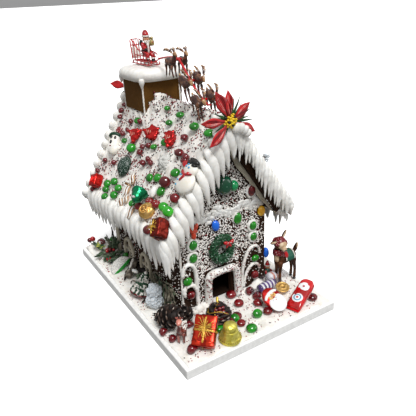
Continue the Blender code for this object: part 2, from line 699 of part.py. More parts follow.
def fawn():
    """A standing toy fawn, side on, its head turned to the front."""
    pieces = [
        (ball_mesh((40, 19, 21), 10, 6), at(0, 0, 42, roll=-4)),
        limb((-12, 0, 44), (-15, -2, 66), 7.5, 5.0, 7),
        (ball_mesh((20, 23, 21), 8, 6), at(-14, -4, 71)),
        limb((-14, -10, 69), (-16, -19, 65), 6.0, 3.6, 6),
        limb((-19, -1, 77), (-29, 1, 87), 3.6, 1.0, 4),
        limb((-8, -1, 78), (2, 2, 88), 3.6, 1.0, 4),
        limb((18, 0, 46), (23, 0, 60), 3.4, 2.0, 5),
    ]
    for x, reach in ((13, 3), (-13, -1)):
        for y in (-5.0, 5.0):
            pieces.append(limb((x, y, 40), (x + reach, y, 0), 4.6, 2.6))
    keep("fawn", fused_mesh(pieces), "brown_plastic", at(101, -118, GROUND + GAP))


for old in list(bpy.data.objects):
    bpy.data.objects.remove(old)
house = collection("gingerbread_house")
cutters = collection("cutters")

board()
walls()
roof_panels()
roof_snow()
eave_icicles()
front_rakes()
back_shells()
chimney()
front_wall_pieces()
sleigh_and_rider()
reindeer_team()
poinsettia(
    "poinsettia_front",
    at(-6, -121.6, 290, tip=90),
    [
        (121, 46, 17, 8), (94, 38, 15, 3), (34, 33, 13, 9), (12, 26, 9, 3), (175, 43, 14, 5),
        (-143, 44, 14, 9), (-27, 43, 13, 7),
    ],
)
poinsettia(
    "poinsettia_back",
    at(2, 188.6, 290, tip=-90),
    [
        (-163, 37, 13, 2), (-105, 27, 12, 6), (-60, 30, 12, 3), (-18, 34, 12, 6),
        (22, 32, 12, 2), (62, 33, 12, 5), (118, 28, 12, 3),
    ],
)
roof_toppings()
ground_left()
ground_front()
bpy.data.collections.remove(cutters)
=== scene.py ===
import math
import random

import bmesh
import bpy
import numpy as np
from mathutils import Matrix, Vector, noise


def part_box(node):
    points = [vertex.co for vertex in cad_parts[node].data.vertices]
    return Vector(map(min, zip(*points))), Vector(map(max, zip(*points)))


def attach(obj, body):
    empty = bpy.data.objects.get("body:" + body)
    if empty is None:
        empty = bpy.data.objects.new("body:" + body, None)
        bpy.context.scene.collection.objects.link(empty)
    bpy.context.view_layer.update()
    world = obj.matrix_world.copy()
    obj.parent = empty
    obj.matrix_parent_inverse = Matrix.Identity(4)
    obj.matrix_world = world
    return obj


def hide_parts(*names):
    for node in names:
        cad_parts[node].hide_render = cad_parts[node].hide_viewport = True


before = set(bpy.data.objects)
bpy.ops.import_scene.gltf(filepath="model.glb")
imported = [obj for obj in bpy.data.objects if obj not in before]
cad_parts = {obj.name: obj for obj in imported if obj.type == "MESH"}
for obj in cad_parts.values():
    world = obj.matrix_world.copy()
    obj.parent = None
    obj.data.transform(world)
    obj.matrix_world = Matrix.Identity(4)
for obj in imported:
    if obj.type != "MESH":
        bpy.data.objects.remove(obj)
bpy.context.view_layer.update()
mm = 0.001  # shapes are worked out in millimetres and kept in metres

box = {name: [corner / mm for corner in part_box(name)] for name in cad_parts}
ground = box["board_icing"][1].z
frontWall = box["wall_front"][0].y
backWall = box["wall_back"][1].y
sideWall = box["wall_right"][1].x
capTop = box["chimney_cap"][1].z

roof = {
    "ridge": 297.0,  # height of the snow's face along the ridge
    "eaveFront": (106.0, 152.0),  # how far out and how high the lip is, at the front
    "eaveBack": (110.0, 133.0),
    "front": box["roof_icing"][0].y,
    "back": box["roof_icing"][1].y,
    "slant": 25.0,  # the eaves end sooner than the ridge at the back
}


def eave(y):
    part = (y + 118.0) / 278.0
    return [a + (b - a) * part for a, b in zip(roof["eaveFront"], roof["eaveBack"])]


def roofZ(x, y):
    out, low = eave(y)
    return roof["ridge"] - abs(x) / out * (roof["ridge"] - low)


def slope(y):
    out, low = eave(y)
    return math.atan2(roof["ridge"] - low, out)


# materials


def linear(colour):
    channels = [int(colour[i:i + 2], 16) / 255 for i in (0, 2, 4)]
    return [c / 12.92 if c <= 0.04045 else ((c + 0.055) / 1.055) ** 2.4 for c in channels] + [1.0]


def addNode(tree, kind, settings=None, links=None):
    node = tree.nodes.new(kind)
    for key, value in (settings or {}).items():
        if isinstance(key, int) or key in node.inputs:
            node.inputs[key].default_value = value
        else:
            setattr(node, key, value)
    for key, source in (links or {}).items():
        tree.links.new(source, node.inputs[key])
    return node


look = {}  # every finish by its name


def newMaterial(name, colour, roughness, sockets=None):
    material = bpy.data.materials.new(name)
    material.use_nodes = True
    shader = material.node_tree.nodes["Principled BSDF"]
    shader.inputs["Base Color"].default_value = linear(colour)
    shader.inputs["Roughness"].default_value = roughness
    for key, value in (sockets or {}).items():
        shader.inputs[key].default_value = value
    look[name] = material
    return material.node_tree, shader


def mottled(name, colours, roughness, grain, bump, sockets=None, patch=(0.42, 0.6), fine=None):
    # two colours in patches of one size, and a relief of grains; both sizes in mm
    tree, shader = newMaterial(name, colours[0], roughness, sockets)
    where = addNode(tree, "ShaderNodeTexCoord").outputs["Object"]
    cloud = addNode(
        tree, "ShaderNodeTexNoise", {"Scale": 0.6 / (grain * mm), "Detail": 3.0}, {"Vector": where},
    )
    share = addNode(
        tree, "ShaderNodeMapRange", {"From Min": patch[0], "From Max": patch[1]},
        {"Value": cloud.outputs["Fac"]}
    )
    mix = addNode(
        tree, "ShaderNodeMix", {"data_type": "RGBA", 6: linear(colours[0]), 7: linear(colours[1])},
        {0: share.outputs["Result"]},
    )
    tree.links.new(mix.outputs[2], shader.inputs["Base Color"])
    height = cloud
    if fine:
        height = addNode(
            tree, "ShaderNodeTexNoise", {"Scale": 0.6 / (fine * mm), "Detail": 2.0}, {"Vector": where},
        )
    relief = addNode(
        tree, "ShaderNodeBump", {"Strength": 1.0, "Distance": bump * mm}, {"Height": height.outputs["Fac"]}
    )
    tree.links.new(relief.outputs["Normal"], shader.inputs["Normal"])


def speckled(name, colours, roughness, speck, amount, bump, sockets=None):
    # a ground colour with small round specks in a second colour; speck is their pitch in mm
    tree, shader = newMaterial(name, colours[0], roughness, sockets)
    where = addNode(tree, "ShaderNodeTexCoord").outputs["Object"]
    cells = addNode(tree, "ShaderNodeTexVoronoi", {"Scale": 1 / (speck * mm)}, {"Vector": where})
    share = addNode(
        tree, "ShaderNodeMapRange", {"From Min": amount, "From Max": amount * 0.6},
        {"Value": cells.outputs["Distance"]},
    )
    mix = addNode(
        tree, "ShaderNodeMix", {"data_type": "RGBA", 6: linear(colours[0]), 7: linear(colours[1])},
        {0: share.outputs["Result"]},
    )
    tree.links.new(mix.outputs[2], shader.inputs["Base Color"])
    relief = addNode(
        tree, "ShaderNodeBump", {"Strength": 1.0, "Distance": bump * mm}, {"Height": share.outputs["Result"]}
    )
    tree.links.new(relief.outputs["Normal"], shader.inputs["Normal"])


def crinkledFoil(name, colours, crease=3.0, roughness=0.28):
    # thin aluminium foil over a sweet: sharp flat facets a few millimetres wide that flash
    tree, shader = newMaterial(name, colours[0], roughness, {"Metallic": 0.75})
    where = addNode(tree, "ShaderNodeTexCoord").outputs["Object"]
    cells = addNode(
        tree, "ShaderNodeTexVoronoi", {"Scale": 1 / (crease * mm), "feature": "F1"}, {"Vector": where},
    )
    fold = addNode(
        tree, "ShaderNodeTexNoise", {"Scale": 0.5 / (crease * mm), "Detail": 2.0}, {"Vector": where},
    )
    mix = addNode(
        tree, "ShaderNodeMix", {"data_type": "RGBA", 6: linear(colours[0]), 7: linear(colours[1])},
        {0: cells.outputs["Color"]},
    )
    tree.links.new(mix.outputs[2], shader.inputs["Base Color"])
    sharp = addNode(
        tree, "ShaderNodeBump", {"Strength": 0.7, "Distance": 0.5 * mm}, {"Height": cells.outputs["Distance"]}
    )
    soft = addNode(
        tree, "ShaderNodeBump", {"Strength": 0.8, "Distance": 0.9 * mm},
        {"Height": fold.outputs["Fac"], "Normal": sharp.outputs["Normal"]},
    )
    tree.links.new(soft.outputs["Normal"], shader.inputs["Normal"])


def gingerbread(name, colours, dusting):
    # dark baked dough: open crumb, darker blisters, and a haze of icing sugar where it was brushed
    tree, shader = newMaterial(name, colours[0], 0.85, {"Specular IOR Level": 0.15})
    where = addNode(tree, "ShaderNodeTexCoord").outputs["Object"]
    bake = addNode(tree, "ShaderNodeTexNoise", {"Scale": 40.0, "Detail": 4.0}, {"Vector": where})
    crumb = addNode(tree, "ShaderNodeTexNoise", {"Scale": 700.0, "Detail": 3.0}, {"Vector": where})
    pores = addNode(tree, "ShaderNodeTexVoronoi", {"Scale": 420.0}, {"Vector": where})
    haze = addNode(
        tree, "ShaderNodeTexNoise", {"Scale": 55.0, "Detail": 6.0, "Roughness": 0.7}, {"Vector": where},
    )
    tone = addNode(
        tree, "ShaderNodeMix", {"data_type": "RGBA", 6: linear(colours[0]), 7: linear(colours[1])},
        {0: bake.outputs["Fac"]},
    )
    share = addNode(
        tree, "ShaderNodeMapRange", {"From Min": 1.0 - dusting, "From Max": 1.12 - dusting},
        {"Value": haze.outputs["Fac"]},
    )
    dusted = addNode(
        tree, "ShaderNodeMix", {"data_type": "RGBA", 7: linear("D8D2CA")},
        {0: share.outputs["Result"], 6: tone.outputs[2]},
    )
    tree.links.new(dusted.outputs[2], shader.inputs["Base Color"])
    rough = addNode(
        tree, "ShaderNodeBump", {"Strength": 0.6, "Distance": 0.5 * mm}, {"Height": crumb.outputs["Fac"]}
    )
    holes = addNode(
        tree, "ShaderNodeBump", {"Strength": 0.5, "Distance": 0.4 * mm},
        {"Height": pores.outputs["Distance"], "Normal": rough.outputs["Normal"]},
    )
    tree.links.new(holes.outputs["Normal"], shader.inputs["Normal"])


softSugar = {"Subsurface Weight": 0.25, "Subsurface Radius": (1.0, 0.9, 0.8), "Subsurface Scale": 0.0015}
glossy = {"Coat Weight": 0.8, "Coat Roughness": 0.12, "Coat IOR": 1.6, "Specular IOR Level": 0.2}
# royal icing dries matt and chalky: soft lumps and drag marks keep the white from going flat
mottled("pipedRoyalIcing", ("F1F0EC", "E4E2DC"), 0.5, 6.0, 0.25, softSugar, fine=2.0)
mottled("spreadRoyalIcing", ("F0EDE7", "DCD7CE"), 0.62, 9.0, 0.9, softSugar, (0.5, 0.72), 2.6)
mottled("creamRoyalIcing", ("C9C1AE", "B5AC97"), 0.6, 8.0, 0.4, softSugar, fine=2.0)
# rolled fondant is smoother, and lets a little light into its edges
mottled("creamFondant", ("F6F3EC", "ECE7DB"), 0.45, 8.0, 0.15, softSugar)
# baked dough is dry and dark, hazed with icing sugar where it was brushed, and paler at the chimney
gingerbread("darkGingerbread", ("1E110A", "3A2213"), 0.3)
gingerbread("brushedGingerbread", ("22140B", "3A2314"), 0.27)
# the next is near-black: painted shade for the inside of the house, seen through the doorway
gingerbread("doorwayShadeBread", ("140B06", "24150C"), 0.02)
gingerbread("paleGingerbread", ("4A2F0F", "6A4718"), 0.22)
# a pale biscuit, with a fine open crumb
mottled("paleBiscuit", ("DCC3A6", "B98F69"), 0.75, 5.0, 0.3, fine=1.2)
# sugar pearls: satin beads too small for a highlight each
mottled("sugarPearlWhite", ("FFFDF8", "F0EBE4"), 0.35, 3.0, 0.1)
mottled("sugarPearlRed", ("6E0B18", "96141F"), 0.35, 3.0, 0.1)
mottled("sugarPearlDark", ("120807", "2A100C"), 0.35, 3.0, 0.1)
# a hard sugar shell, polished with wax, gives each sweet one sharp highlight
mottled("sugarShellGreen", ("1B8F14", "116B0D"), 0.25, 6.0, 0.12, glossy)
mottled("sugarShellPaleGreen", ("3DBB2C", "1F9417"), 0.25, 6.0, 0.12, glossy)
mottled("sugarShellDarkRed", ("78070F", "4C0409"), 0.22, 6.0, 0.12, glossy)
speckled("sugarShellBlue", ("0A68E0", "B9D2F0"), 0.3, 3.4, 0.16, 0.05, glossy)
mottled("sugarShellYellow", ("E6B00E", "BE8708"), 0.3, 6.0, 0.12, glossy)
# pectin jelly under coarse sugar: pale glints over a deep clear colour
speckled("sugaredGreenJelly", ("03452B", "BFE0D0"), 0.2, 3.0, 0.16, 0.3, glossy)
speckled("brightGreenJelly", ("058A4C", "7BD8B0"), 0.15, 2.6, 0.2, 0.2, glossy)
speckled("darkRedJelly", ("640610", "C07074"), 0.25, 2.4, 0.2, 0.2, glossy)
speckled("frostedGreenJelly", ("0C2F20", "C9D6CF"), 0.4, 1.9, 0.33, 0.4)
speckled("frostedWhiteJelly", ("C9C9C4", "F2F2EF"), 0.5, 1.8, 0.36, 0.3)
speckled("sugaredSlice", ("1E8A2C", "8FD08A"), 0.3, 2.4, 0.2, 0.3, glossy)
# moulded sugar rolled in sprinkles: rough to the eye, with white specks
speckled("mouldedGreenSugar", ("093A1C", "5E9A74"), 0.35, 2.6, 0.2, 0.3)
speckled("frostedGreenSugar", ("2C6E45", "E8F0EA"), 0.35, 1.8, 0.42, 0.3)
speckled("orangeRedSugar", ("D8401E", "F0A58C"), 0.3, 2.2, 0.2, 0.2, glossy)
speckled("sprinkledRedSugar", ("7E0A10", "EFE6E2"), 0.4, 2.6, 0.26, 0.2)
speckled("sprinkledGreenSugar", ("0B3A20", "B9D2C2"), 0.4, 2.2, 0.12, 0.2)
# glazed red sugar, and the small blue dots
mottled("bowSugarRed", ("C4141C", "960A12"), 0.4, 4.0, 0.1, glossy)
mottled("paleBlueDot", ("5CB2DA", "4498C6"), 0.4, 3.0, 0.1, glossy)
# crinkled foil flashes from bright to dark at every crease
crinkledFoil("crinkledRedFoil", ("A80C10", "D8281E"), 4.5)
crinkledFoil("crinkledOrangeRedFoil", ("7A0C06", "D2361A"), 8.0)
crinkledFoil("crinkledMaroonFoil", ("4A0A07", "8A2415"), 4.5)
crinkledFoil("goldFoil", ("C8923C", "EFCB86"), 3.5, 0.4)
crinkledFoil("yellowFoil", ("CDBE3A", "F2E87C"), 3.2, 0.38)
crinkledFoil("greenFoil", ("04633C", "1F9A66"))
crinkledFoil("brightRedFoil", ("8E0A0E", "D8302C"), 3.6, 0.25)
crinkledFoil("printedRedFoil", ("C8201C", "A8161A"), 5.0, 0.34)
crinkledFoil("goldThread", ("C99A2E", "EBC765"), 1.2, 0.3)
# painted shade: the hollows of gold foil, where little light comes back; the same brown is the biscuits'
# brown piping
mottled("goldShadeAndBrown", ("8C5A1C", "5E3A14"), 0.4, 2.0, 0.2)
# printed film and board: an even colour under a smooth shine
mottled("printedFilmRed", ("C80C12", "A0080C"), 0.25, 8.0, 0.5, glossy)
mottled("printedWhite", ("F2F2F4", "E3E5EA"), 0.3, 5.0, 0.05, glossy)
mottled("printedBlue", ("5FA9C4", "3E86A8"), 0.3, 5.0, 0.05, glossy)
mottled("printedPurple", ("3A1C66", "5E3A8C"), 0.3, 5.0, 0.05, glossy)
mottled("printedFaceGold", ("D9AE62", "C08C48"), 0.35, 3.0, 0.1, glossy)
mottled("boardPaper", ("F6F6F4", "ECECEA"), 0.5, 4.0, 0.12)
# cloth: soft and a little fuzzy; on the petals, dark veins with painted shade in the folds, and pale folds
# that are a painted highlight
mottled("petalCloth", ("D0101A", "A00A10"), 0.62, 5.0, 0.3, {"Sheen Weight": 0.2}, fine=0.8)
mottled("petalFoldHighlight", ("F05A55", "E8A09A"), 0.6, 3.0, 0.2)
mottled("petalVeinAndFoldShade", ("8E0812", "6E060E"), 0.6, 3.0, 0.2)
mottled("leafCloth", ("2A5A24", "16301A"), 0.65, 4.0, 0.3, fine=0.8)
speckled("plaidGreenCloth", ("10503E", "5C8A6E"), 0.55, 2.4, 0.24, 0.2)
# moulded figures: two close tones in soft patches, under a low gloss
mottled("mouldedBrown", ("47241A", "85583E"), 0.42, 4.0, 0.25, glossy, (0.5, 0.62))
# the paler brown of the reindeer: their own paint on head, ears, tail and belly, and a painted highlight on
# every other tine
mottled("mouldedTanAndHighlight", ("8A5E3E", "BC9468"), 0.45, 3.0, 0.2, glossy)
mottled("mouldedRed", ("CE121C", "A20A12"), 0.3, 8.0, 0.1, glossy)
mottled("toyLightRed", ("5C1A12", "A0564A"), 0.35, 4.0, 0.1, glossy)
mottled("toyPink", ("C97A6A", "E0A290"), 0.4, 3.0, 0.1, glossy)
mottled("mouldedFawn", ("33190C", "5E3A22"), 0.5, 7.0, 0.2, {"Specular IOR Level": 0.2})
mottled("mouldedCream", ("B89A78", "D8C3A4"), 0.55, 4.0, 0.2)
mottled("stamenYellow", ("F6D526", "D9A914"), 0.45, 2.0, 0.2)
mottled("yellowGreenLeaf", ("B9B84A", "5F8A3A"), 0.5, 4.0, 0.2)
# brushed paint on the little figures
mottled("paintedSuitRed", ("B8161C", "8C0F14"), 0.4, 4.0, 0.2, glossy)
mottled("paintedFurWhite", ("EFECE6", "D8D2C8"), 0.6, 1.5, 0.3)
mottled("paintedSkin", ("D9A583", "C98E6C"), 0.5, 4.0, 0.05)
mottled("paintedBlack", ("151312", "2A2725"), 0.35, 3.0, 0.1)
mottled("paintedOliveGold", ("7A6A34", "B9A466"), 0.35, 2.0, 0.2, glossy)
# dry wood and needles: no shine at all, pale at the tips
mottled("pineConeScale", ("120A07", "3A251B"), 0.7, 4.0, 0.4, None, (0.45, 0.7), 1.2)
# the pale lip on each cone scale: its pale tip, and a painted highlight along the upper edge
mottled("paleConeTipAndHighlight", ("6A564A", "D9CEC4"), 0.8, 3.0, 0.3, None, (0.5, 0.7))
mottled("dryNeedle", ("6B6452", "A8A28F"), 0.8, 4.0, 0.1)
mottled("weatheredBark", ("3A3028", "8C8274"), 0.85, 4.0, 0.8, None, (0.45, 0.65), 1.6)
mottled("snowyNeedle", ("2A4228", "7C8F74"), 0.6, 4.0, 0.1)
# glazed berries
mottled("berryRed", ("9A0F18", "C21F26"), 0.25, 3.0, 0.05, glossy)
mottled("berryDarkRed", ("4A0A10", "7C141C"), 0.25, 3.0, 0.1, glossy)
# glitter: a pale ground with bright grains that catch the lamp
speckled("snowGlitter", ("D3DCE3", "FFFFFF"), 0.4, 1.6, 0.5, 0.4, {"Coat Weight": 0.2})
speckled("redGlitter", ("6E0616", "E8B8B8"), 0.3, 2.4, 0.3, 0.3)
speckled("greenGlitter", ("0F4A38", "3E7A62"), 0.4, 2.2, 0.24, 0.2)
# clear film: the sweet shows through, with bright streaks along the folds
filmTree, filmShader = newMaterial(
    "clearFilm", "E9E4EC", 0.12, {"Transmission Weight": 0.9, "IOR": 1.3, "Alpha": 0.3}
)
filmSpot = addNode(filmTree, "ShaderNodeTexCoord").outputs["Object"]
filmFold = addNode(filmTree, "ShaderNodeTexNoise", {"Scale": 260.0, "Detail": 2.0}, {"Vector": filmSpot})
filmBump = addNode(
    filmTree, "ShaderNodeBump", {"Strength": 0.8, "Distance": 1.2 * mm}, {"Height": filmFold.outputs["Fac"]}
)
filmTree.links.new(filmBump.outputs["Normal"], filmShader.inputs["Normal"])
print("materials made")


# placing and shaping


def turned(degrees, axis="Z"):
    return Matrix.Rotation(math.radians(degrees), 4, axis)


def at(x, y, z, turn=0.0, tip=0.0, roll=0.0):
    return Matrix.Translation((x, y, z)) @ (turned(turn) @ turned(roll, "Y")) @ turned(tip, "X")


def sized(x, y, z):
    return Matrix.Diagonal((x, y, z, 1))


def onCircle(turn, reach, z):
    # a point on a level circle
    return reach * math.cos(turn), reach * math.sin(turn), z


def loopRound(wide, deep, y, z):
    # a closed loop round a body, in ten steps
    return [(wide * math.cos(k * 0.63), y + deep * math.sin(k * 0.63), z) for k in range(11)]


def onRoof(x, y, lift=0.0, turn=0.0, tip=0.0):
    # a frame on either slope: X along the eave, Y up the slope, Z out of the snow
    side = 1.0 if x > 0 else -1.0
    cos, sin = math.cos(slope(y)), math.sin(slope(y))
    tilt = Matrix(((0, -side * cos, side * sin, 0), (side, 0, 0, 0), (0, sin, cos, 0), (0, 0, 0, 1)))
    foot = Vector((x, y, roofZ(x, y))) + Vector((side * sin, 0, cos)) * (lift + 0.6)
    return Matrix.Translation(foot) @ tilt @ (turned(turn) @ turned(tip, "X"))


def onFront(x, z, lift=0.0, turn=0.0):
    # a frame on the front wall: X to the right, Y up, Z out of the wall
    wall = Matrix(((1, 0, 0, 0), (0, 0, -1, 0), (0, 1, 0, 0), (0, 0, 0, 1)))
    return Matrix.Translation((x, frontWall - 0.3 - lift, z)) @ wall @ turned(turn)


def onBack(x, z, lift=0.0, turn=0.0):
    wall = Matrix(((-1, 0, 0, 0), (0, 0, 1, 0), (0, 1, 0, 0), (0, 0, 0, 1)))
    return Matrix.Translation((x, backWall + 0.3 + lift, z)) @ wall @ turned(turn)


def onSide(side, y, z, lift=0.0, turn=0.0):
    wall = Matrix(((0, 0, side, 0), (side, 0, 0, 0), (0, 1, 0, 0), (0, 0, 0, 1)))
    return Matrix.Translation((side * (sideWall + 0.3 + lift), y, z)) @ wall @ turned(turn)


shapes = {}


def keepShape(name, bm):
    # a shape made once by an operator, then stamped wherever it is wanted
    mesh = bpy.data.meshes.new(name)
    bm.to_mesh(mesh)
    bm.free()
    points = np.empty(len(mesh.vertices) * 3)
    mesh.vertices.foreach_get("co", points)
    shapes[name] = (mesh, points.reshape(-1, 3))


for name, around, up in (
    ("needle", 4, 4), ("twig", 5, 6), ("rod", 8, 12), ("bead", 10, 8), ("ball", 16, 12), ("smooth", 24, 16),
    ("stroke", 12, 16), ("rope", 10, 48), ("blade", 6, 10),
):
    bm = bmesh.new()
    bmesh.ops.create_uvsphere(bm, u_segments=around, v_segments=up, radius=1.0)
    keepShape(name, bm)
bm = bmesh.new()
bmesh.ops.create_icosphere(bm, subdivisions=1, radius=1.0)
keepShape("grain", bm)


def stamp(bm, shape, place=None, slot=0, bend=None):
    # adds a shape to a piece: bent along a path first, then put in place
    mesh, points = shapes[shape]
    if bend:
        points = bend(points)
    if place is not None:
        turn = np.array(place)
        points = points @ turn[:3, :3].T + turn[:3, 3]
    mesh.vertices.foreach_set("co", (points * mm).ravel())
    mesh.polygons.foreach_set("material_index", [slot] * len(mesh.polygons))
    bm.from_mesh(mesh)


def drawn(path, widths, side, flat, wobble, seed):
    # the sphere's height becomes the way along the path, its girth the widths
    way = [Vector(point) for point in path]
    for _ in range(3 if len(way) > 2 else 0):
        cut = [way[0]]
        for a, b in zip(way, way[1:]):
            cut += [a.lerp(b, 0.25), a.lerp(b, 0.75)]
        way = cut + [way[-1]]
    way = np.array(way)
    run = np.concatenate([[0.0], np.cumsum(np.linalg.norm(np.diff(way, axis=0), axis=1))])

    def bend(points):
        height = np.clip(points[:, 2], -1, 1)
        girth = np.sqrt(np.maximum(1e-9, 1 - height**2))
        part = np.arccos(-height) / math.pi
        spot = part * run[-1]
        ahead = np.clip(spot + run[-1] * 0.03, 0, run[-1])
        behind = np.clip(spot - run[-1] * 0.03, 0, run[-1])
        middle = np.stack([np.interp(spot, run, way[:, k]) for k in range(3)], 1)
        heading = np.stack(
            [np.interp(ahead, run, way[:, k]) - np.interp(behind, run, way[:, k]) for k in range(3)], 1,
        )
        heading /= np.linalg.norm(heading, axis=1)[:, None]
        across = np.array(side, float) - heading * (heading @ np.array(side, float))[:, None]
        across /= np.linalg.norm(across, axis=1)[:, None]
        out = np.cross(heading, across)
        wide = np.interp(part, np.linspace(0, 1, len(widths)), widths)
        if wobble:
            wide = wide * (1 + wobble * np.sin(part * run[-1] * 1.1 + seed + points[:, 0] * 2.0))
        return (
            middle
            + across * (points[:, 0] / girth * wide * (girth > 1e-3))[:, None]
            + out * (points[:, 1] / girth * wide * flat * (girth > 1e-3))[:, None]
        )

    return bend


def draw(bm, shape, path, widths, side=(1, 0, 0), flat=1.0, wobble=0.0, seed=0.0, place=None, slot=0):
    # one stroke of a shape along a path: flat thins it one way, wobble leaves it uneven
    stamp(bm, shape, place, slot, drawn(path, widths, side, flat, wobble, seed))


def join(bm, part, place=None, slot=0):
    # adds a small bmesh, worked out in millimetres, to a piece
    bmesh.ops.recalc_face_normals(part, faces=part.faces)
    part.transform(Matrix.Scale(mm, 4) @ (place or Matrix.Identity(4)))
    for face in part.faces:
        face.material_index = slot
    mesh = bpy.data.meshes.new("part")
    part.to_mesh(mesh)
    part.free()
    bm.from_mesh(mesh)
    bpy.data.meshes.remove(mesh)


def spun(outline, steps=24):
    # a turned shape from (radius, height) pairs that begin and end on the axis
    part = bmesh.new()
    verts = [part.verts.new((radius, 0, height)) for radius, height in outline]
    edges = [part.edges.new(pair) for pair in zip(verts, verts[1:])]
    bmesh.ops.spin(
        part, geom=verts + edges, axis=(0, 0, 1), cent=(0, 0, 0), angle=math.tau, steps=steps, use_merge=True
    )
    bmesh.ops.remove_doubles(part, verts=part.verts, dist=1e-3)
    return part


def block(size, rounding, cuts=0, segments=2):
    part = bmesh.new()
    bmesh.ops.create_cube(part, size=1.0)
    bmesh.ops.scale(part, vec=size, verts=part.verts)
    bmesh.ops.bevel(
        part, geom=part.edges[:], offset=rounding, segments=segments, profile=0.5, affect="EDGES", material=-1
    )
    if cuts:
        bmesh.ops.subdivide_edges(part, edges=part.edges[:], cuts=cuts, use_grid_fill=True)
    return part


def ringOf(radius, fat, sides, steps):
    ring = bmesh.new()
    upright = Matrix.Translation((radius, 0, 0)) @ Matrix.Rotation(math.pi / 2, 4, "X")
    bmesh.ops.create_circle(ring, segments=sides, radius=fat, matrix=upright)
    bmesh.ops.spin(
        ring, geom=ring.verts[:] + ring.edges[:], axis=(0, 0, 1), cent=(0, 0, 0), angle=math.tau, steps=steps,
        use_merge=True,
    )
    return ring


def sheetOf(outline, thick, rounding=0.0, segments=2):
    # an outline in X and Y drawn up into a slab about Z 0
    part = bmesh.new()
    face = part.faces.new([part.verts.new((x, y, -thick / 2)) for x, y in outline])
    grown = bmesh.ops.extrude_face_region(part, geom=[face])["geom"]
    bmesh.ops.translate(
        part, vec=(0, 0, thick), verts=[v for v in grown if isinstance(v, bmesh.types.BMVert)],
    )
    if rounding:
        rim = [e for e in part.edges if abs(e.verts[0].co.z - e.verts[1].co.z) < 0.1]
        bmesh.ops.bevel(
            part, geom=rim, offset=rounding, segments=segments, profile=0.5, affect="EDGES", material=-1
        )
    return part


def fineSheet(part, cuts):
    # enough faces over a broad slab for it to be pressed and puffed
    bmesh.ops.poke(part, faces=[f for f in part.faces if len(f.verts) > 8])
    bmesh.ops.subdivide_edges(part, edges=part.edges[:], cuts=cuts, use_grid_fill=True)


def ruffle(part, amount, size, seed=0.0):
    # uneven by a real thickness: the surface moves in and out along its normals
    part.normal_update()
    shift = Vector((seed, seed * 1.7, seed * 2.3))
    moves = [(v, v.normal * amount * noise.noise(v.co / size + shift)) for v in part.verts]
    for vert, move in moves:
        vert.co += move
    return part


# torn lumps, for jellies, beards and dabs of icing
lumpShapes = 3
for k in range(lumpShapes):
    bm = bmesh.new()
    bmesh.ops.create_icosphere(bm, subdivisions=2, radius=1.0)
    ruffle(bm, 0.5, 0.8, 3.0 + k * 5)
    keepShape(f"lump{k}", bm)


def finishPiece(name, bm, finishes, replaced=(), smooth=True):
    mesh = bpy.data.meshes.new(name)
    if not smooth:
        bmesh.ops.triangulate(bm, faces=bm.faces)
    bm.to_mesh(mesh)
    bm.free()
    mesh.polygons.foreach_set("use_smooth", [smooth] * len(mesh.polygons))
    for finish in finishes:
        mesh.materials.append(look[finish])
    piece = bpy.data.objects.new(name, mesh)
    bpy.context.scene.collection.objects.link(piece)
    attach(piece, "root")
    if replaced:
        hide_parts(*replaced)
    print(name, len(mesh.polygons), "faces")
    return piece


def crumple(x, y, sizes, seed=0.0):
    # a sum of noises, each (size in mm, height in mm)
    return sum(h * noise.noise(Vector((x / s + seed, y / s - seed, seed * 3.1))) for s, h in sizes)


def closeUnder(bm, drop):
    # gives an open sheet its skirt and its underside
    rim = [e for e in bm.edges if e.is_boundary]
    grown = bmesh.ops.extrude_edge_only(bm, edges=rim)["geom"]
    for vert in [v for v in grown if isinstance(v, bmesh.types.BMVert)]:
        vert.co = drop(vert.co)
    rim = [e for e in bm.edges if e.is_boundary]
    bmesh.ops.holes_fill(bm, edges=rim, sides=0)


# the carried-over nodes

for node, finish in (
    ("cake_board", "boardPaper"), ("wall_front", "darkGingerbread"), ("wall_back", "darkGingerbread"),
    ("wall_left", "brushedGingerbread"), ("wall_right", "brushedGingerbread"),
    ("roof_left", "brushedGingerbread"), ("roof_right", "brushedGingerbread"),
    ("chimney_left", "paleGingerbread"), ("chimney_right", "paleGingerbread"),
    ("chimney_front", "paleGingerbread"), ("chimney_back", "paleGingerbread"),
):
    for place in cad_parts[node].material_slots:
        place.material = look[finish]

# the snow on the board

snow = {"step": 2.0, "lumps": ((40, 0.9), (13, 0.8), (5, 0.5), (2.6, 0.25)), "bank": 7.0}
houseX, houseFront, houseBack = sideWall, frontWall, backWall
doorway = (-29.0, 15.0)


def bankOf(x, y):
    # how far up the snow is drifted against the walls
    dx = abs(x) - houseX
    dy = max(houseFront - y, y - houseBack)
    away = math.hypot(max(dx, 0), max(dy, 0))
    if dx < 0 and dy < 0:
        return 0.0
    rise = snow["bank"] * math.exp(-((away / 5.5) ** 2)) * (
        0.75 + 0.5 * noise.noise(Vector((x / 9, y / 9, 4.0)))
    )
    if y < houseFront + 2 and doorway[0] - 6 < x < doorway[1] + 6:
        rise *= 0.0
    for px, py, high, wide in ((57, -95, 13, 13), (-40, -105, 8, 12), (-100, 148, 6, 14), (-112, 175, 8, 9)):
        rise = max(rise, high * math.exp(-((x - px) ** 2 + (y - py) ** 2) / wide**2))
    return max(0.0, rise)


def groundZ(x, y):
    return ground - 0.7 + max(-1.2, crumple(x, y, snow["lumps"], 1.0)) + bankOf(x, y)


